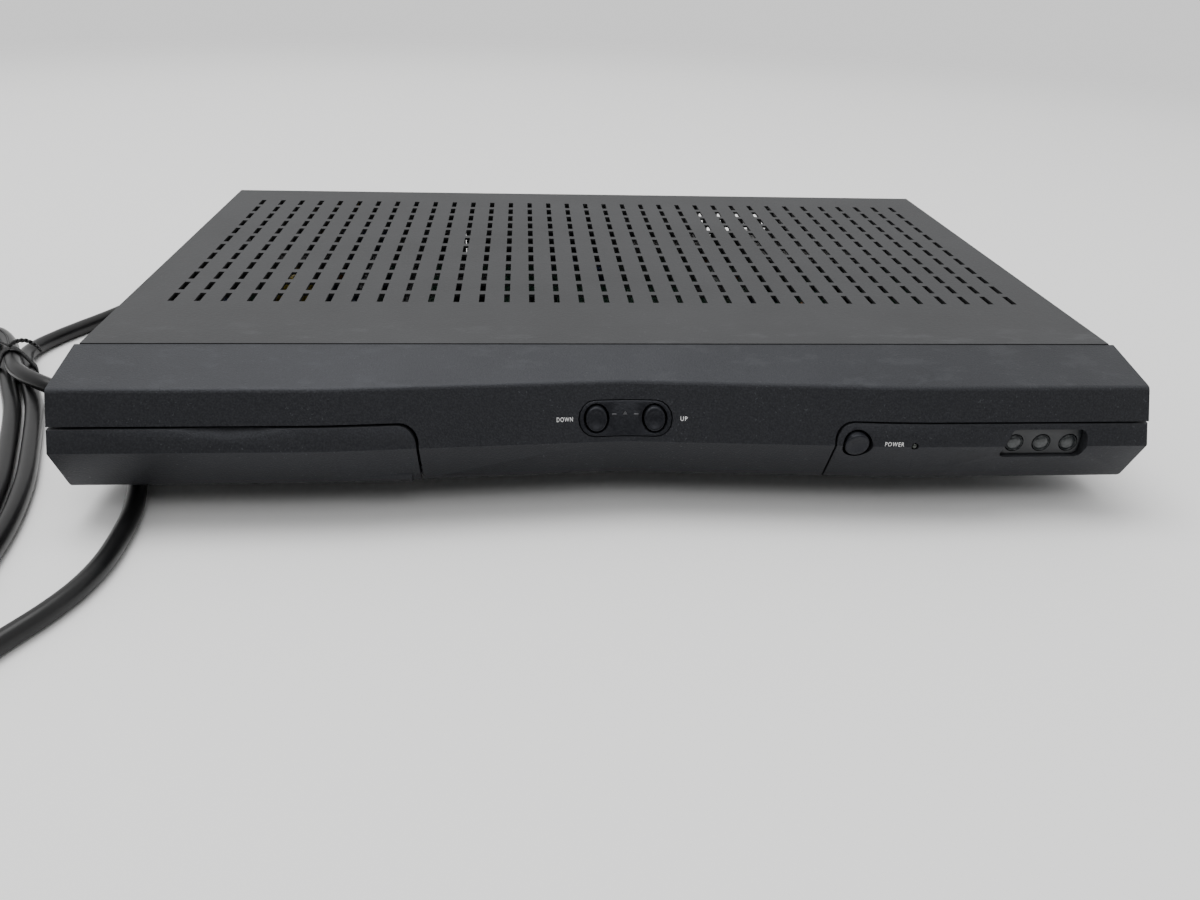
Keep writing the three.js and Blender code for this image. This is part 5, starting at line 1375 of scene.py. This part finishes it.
CHIP_PLACES = [(-50, -30), (-26, -40), (-50, 4), (-24, 40), (110, -40), (134, -40), (60, 50)]
CHIP_SIDE, LEG_END, LEG_PITCH = 3.2, 4, 2
chip_height = (BOARD_TOP + 0.2, BOARD_TOP + 3.4)
small_chip = block("small_chips", (-8, 8), (-CHIP_SIDE, CHIP_SIDE), chip_height, 0.2)
place_all(small_chip, epoxy, CHIP_PLACES)
legs = []
for ys in ((-LEG_END, -CHIP_SIDE), (CHIP_SIDE, LEG_END)):
    for i in range(8):
        x = (i - 3.5) * LEG_PITCH
        legs.append(block("leg", (x - 0.25, x + 0.25), ys, (BOARD_TOP, BOARD_TOP + 1.8)))
place_all(joined("chip_legs", *legs), tin, CHIP_PLACES)

crystal = block("crystal_cans", (-5.5, 5.5), (-2.3, 2.3), (BOARD_TOP, BOARD_TOP + 3.6), 1.1, 3)
place_all(crystal, tin, [(10, -30), (96, 2), (-66, 66)])
coil = turned("coils", "z", (0, 0, BOARD_TOP), [
    (0, 0), (4.2, 0), (4.2, 1), (2.6, 1.3), (2.9, 2), (2.9, 5), (2.6, 5.7), (4.2, 6), (4.2, 7), (0, 7),
], 24)
place_all(coil, copper_wire, [(-34, 56), (72, 60), (-110, 34), (150, 10)])

# %% [markdown]
# These replace plain solids. A transformer is a stack of iron sheets round a taped coil, the choke
# is a wound ring, and the fuse a tube between two caps. The two screening cans get a rounded lid.

# %% The big parts of the supply
core = block("transformer_core", (-148, -116), (14, 30), (19.25, 45.1), 0.3)
finish_piece(core, laminate, instead_of=["transformer"])
tape = block("transformer_tape", (-140, -124), (6, 38), (21.5, 43), 3.5, 4)
finish_piece(tape, yellow_tape)
choke = turned("choke_ring", "z", (-148, 61.98, 25.7), [
    (1.9, -6), (2.6, -6.4), (8.8, -6.4), (9.9, -5.4), (9.9, 5.4), (8.8, 6.4), (2.6, 6.4), (1.9, 6),
    (1.9, -6),
], 36)
finish_piece(choke, copper_wire, instead_of=["mains_choke"])
big_can = turned("bulk_can", "z", (-107.98, 61.98, 19.2), [
    (0, 0), (10.4, 0), (10.9, 0.6), (10.9, 1.6), (10.5, 2.2), (10.9, 2.8), (10.9, 26), (10.3, 26.8),
    (9.4, 26.95), (9.2, 26.5), (0, 26.5),
], 40)
finish_piece(big_can, sleeve, instead_of=["bulk_capacitor"])
fuse = turned("fuse_tube", "x", (-117.97, 89.99, 21.8), [
    (0, -9.9), (2.4, -9.9), (2.55, -9.6), (2.55, -5.4), (2.25, -5.2), (2.25, 5.2), (2.55, 5.4),
    (2.55, 9.6), (2.4, 9.9), (0, 9.9),
], 20)
finish_piece(fuse, nickel, instead_of=["mains_fuse"])
LID_Z = 26
for name in ("tuner_can", "modulator_can"):
    box = copy_of(name, f"{name}_box")
    round_edges(box, 0.5, lambda a, b, turn: turn > 60 and min(a.z, b.z) > LID_Z, 2)
    finish_piece(box, tin, instead_of=[name])

# %% [markdown]
# ## The colours round it
# The floor is pale and dull, and fades out towards its rim, so that no horizon cuts the picture.
# The world is white to the camera. As light it is dimmed towards the front, where the room is
# darker, and that keeps the upright face of the receiver nearly black.

# %% Background that reads white, and the pale floor
pale, pale_shader, spot = new_finish("pale_floor", Roughness=0.9)
pale_shader.inputs["Base Color"].default_value = (0.92, 0.92, 0.915, 1)
across, deep = axis_of(spot, "X"), axis_of(spot, "Y")
FADE_START, FADE_END = 0.85, 1.5
feed(pale_shader, "Alpha", 1 - (across * across + deep * deep).step(FADE_START**2, FADE_END**2))
dress(floor, pale)

FRONT_FALL = 0.85
world = bpy.data.worlds.new("studio")
world.use_nodes = True
bpy.context.scene.world = world
seen = Signal(world.node_tree)
camera_ray = seen.node("ShaderNodeLightPath", output="Is Camera Ray")
heading = seen.node("ShaderNodeTexCoord", output="Generated")
front_side = (axis_of(heading, "Y") * -1).step(0.0, 0.8)
strength = 1 - front_side * (1 - camera_ray) * FRONT_FALL
background = world.node_tree.nodes["Background"]
world.node_tree.links.new(strength.socket, background.inputs["Strength"])
background.inputs["Color"].default_value = (1, 1, 1, 1)
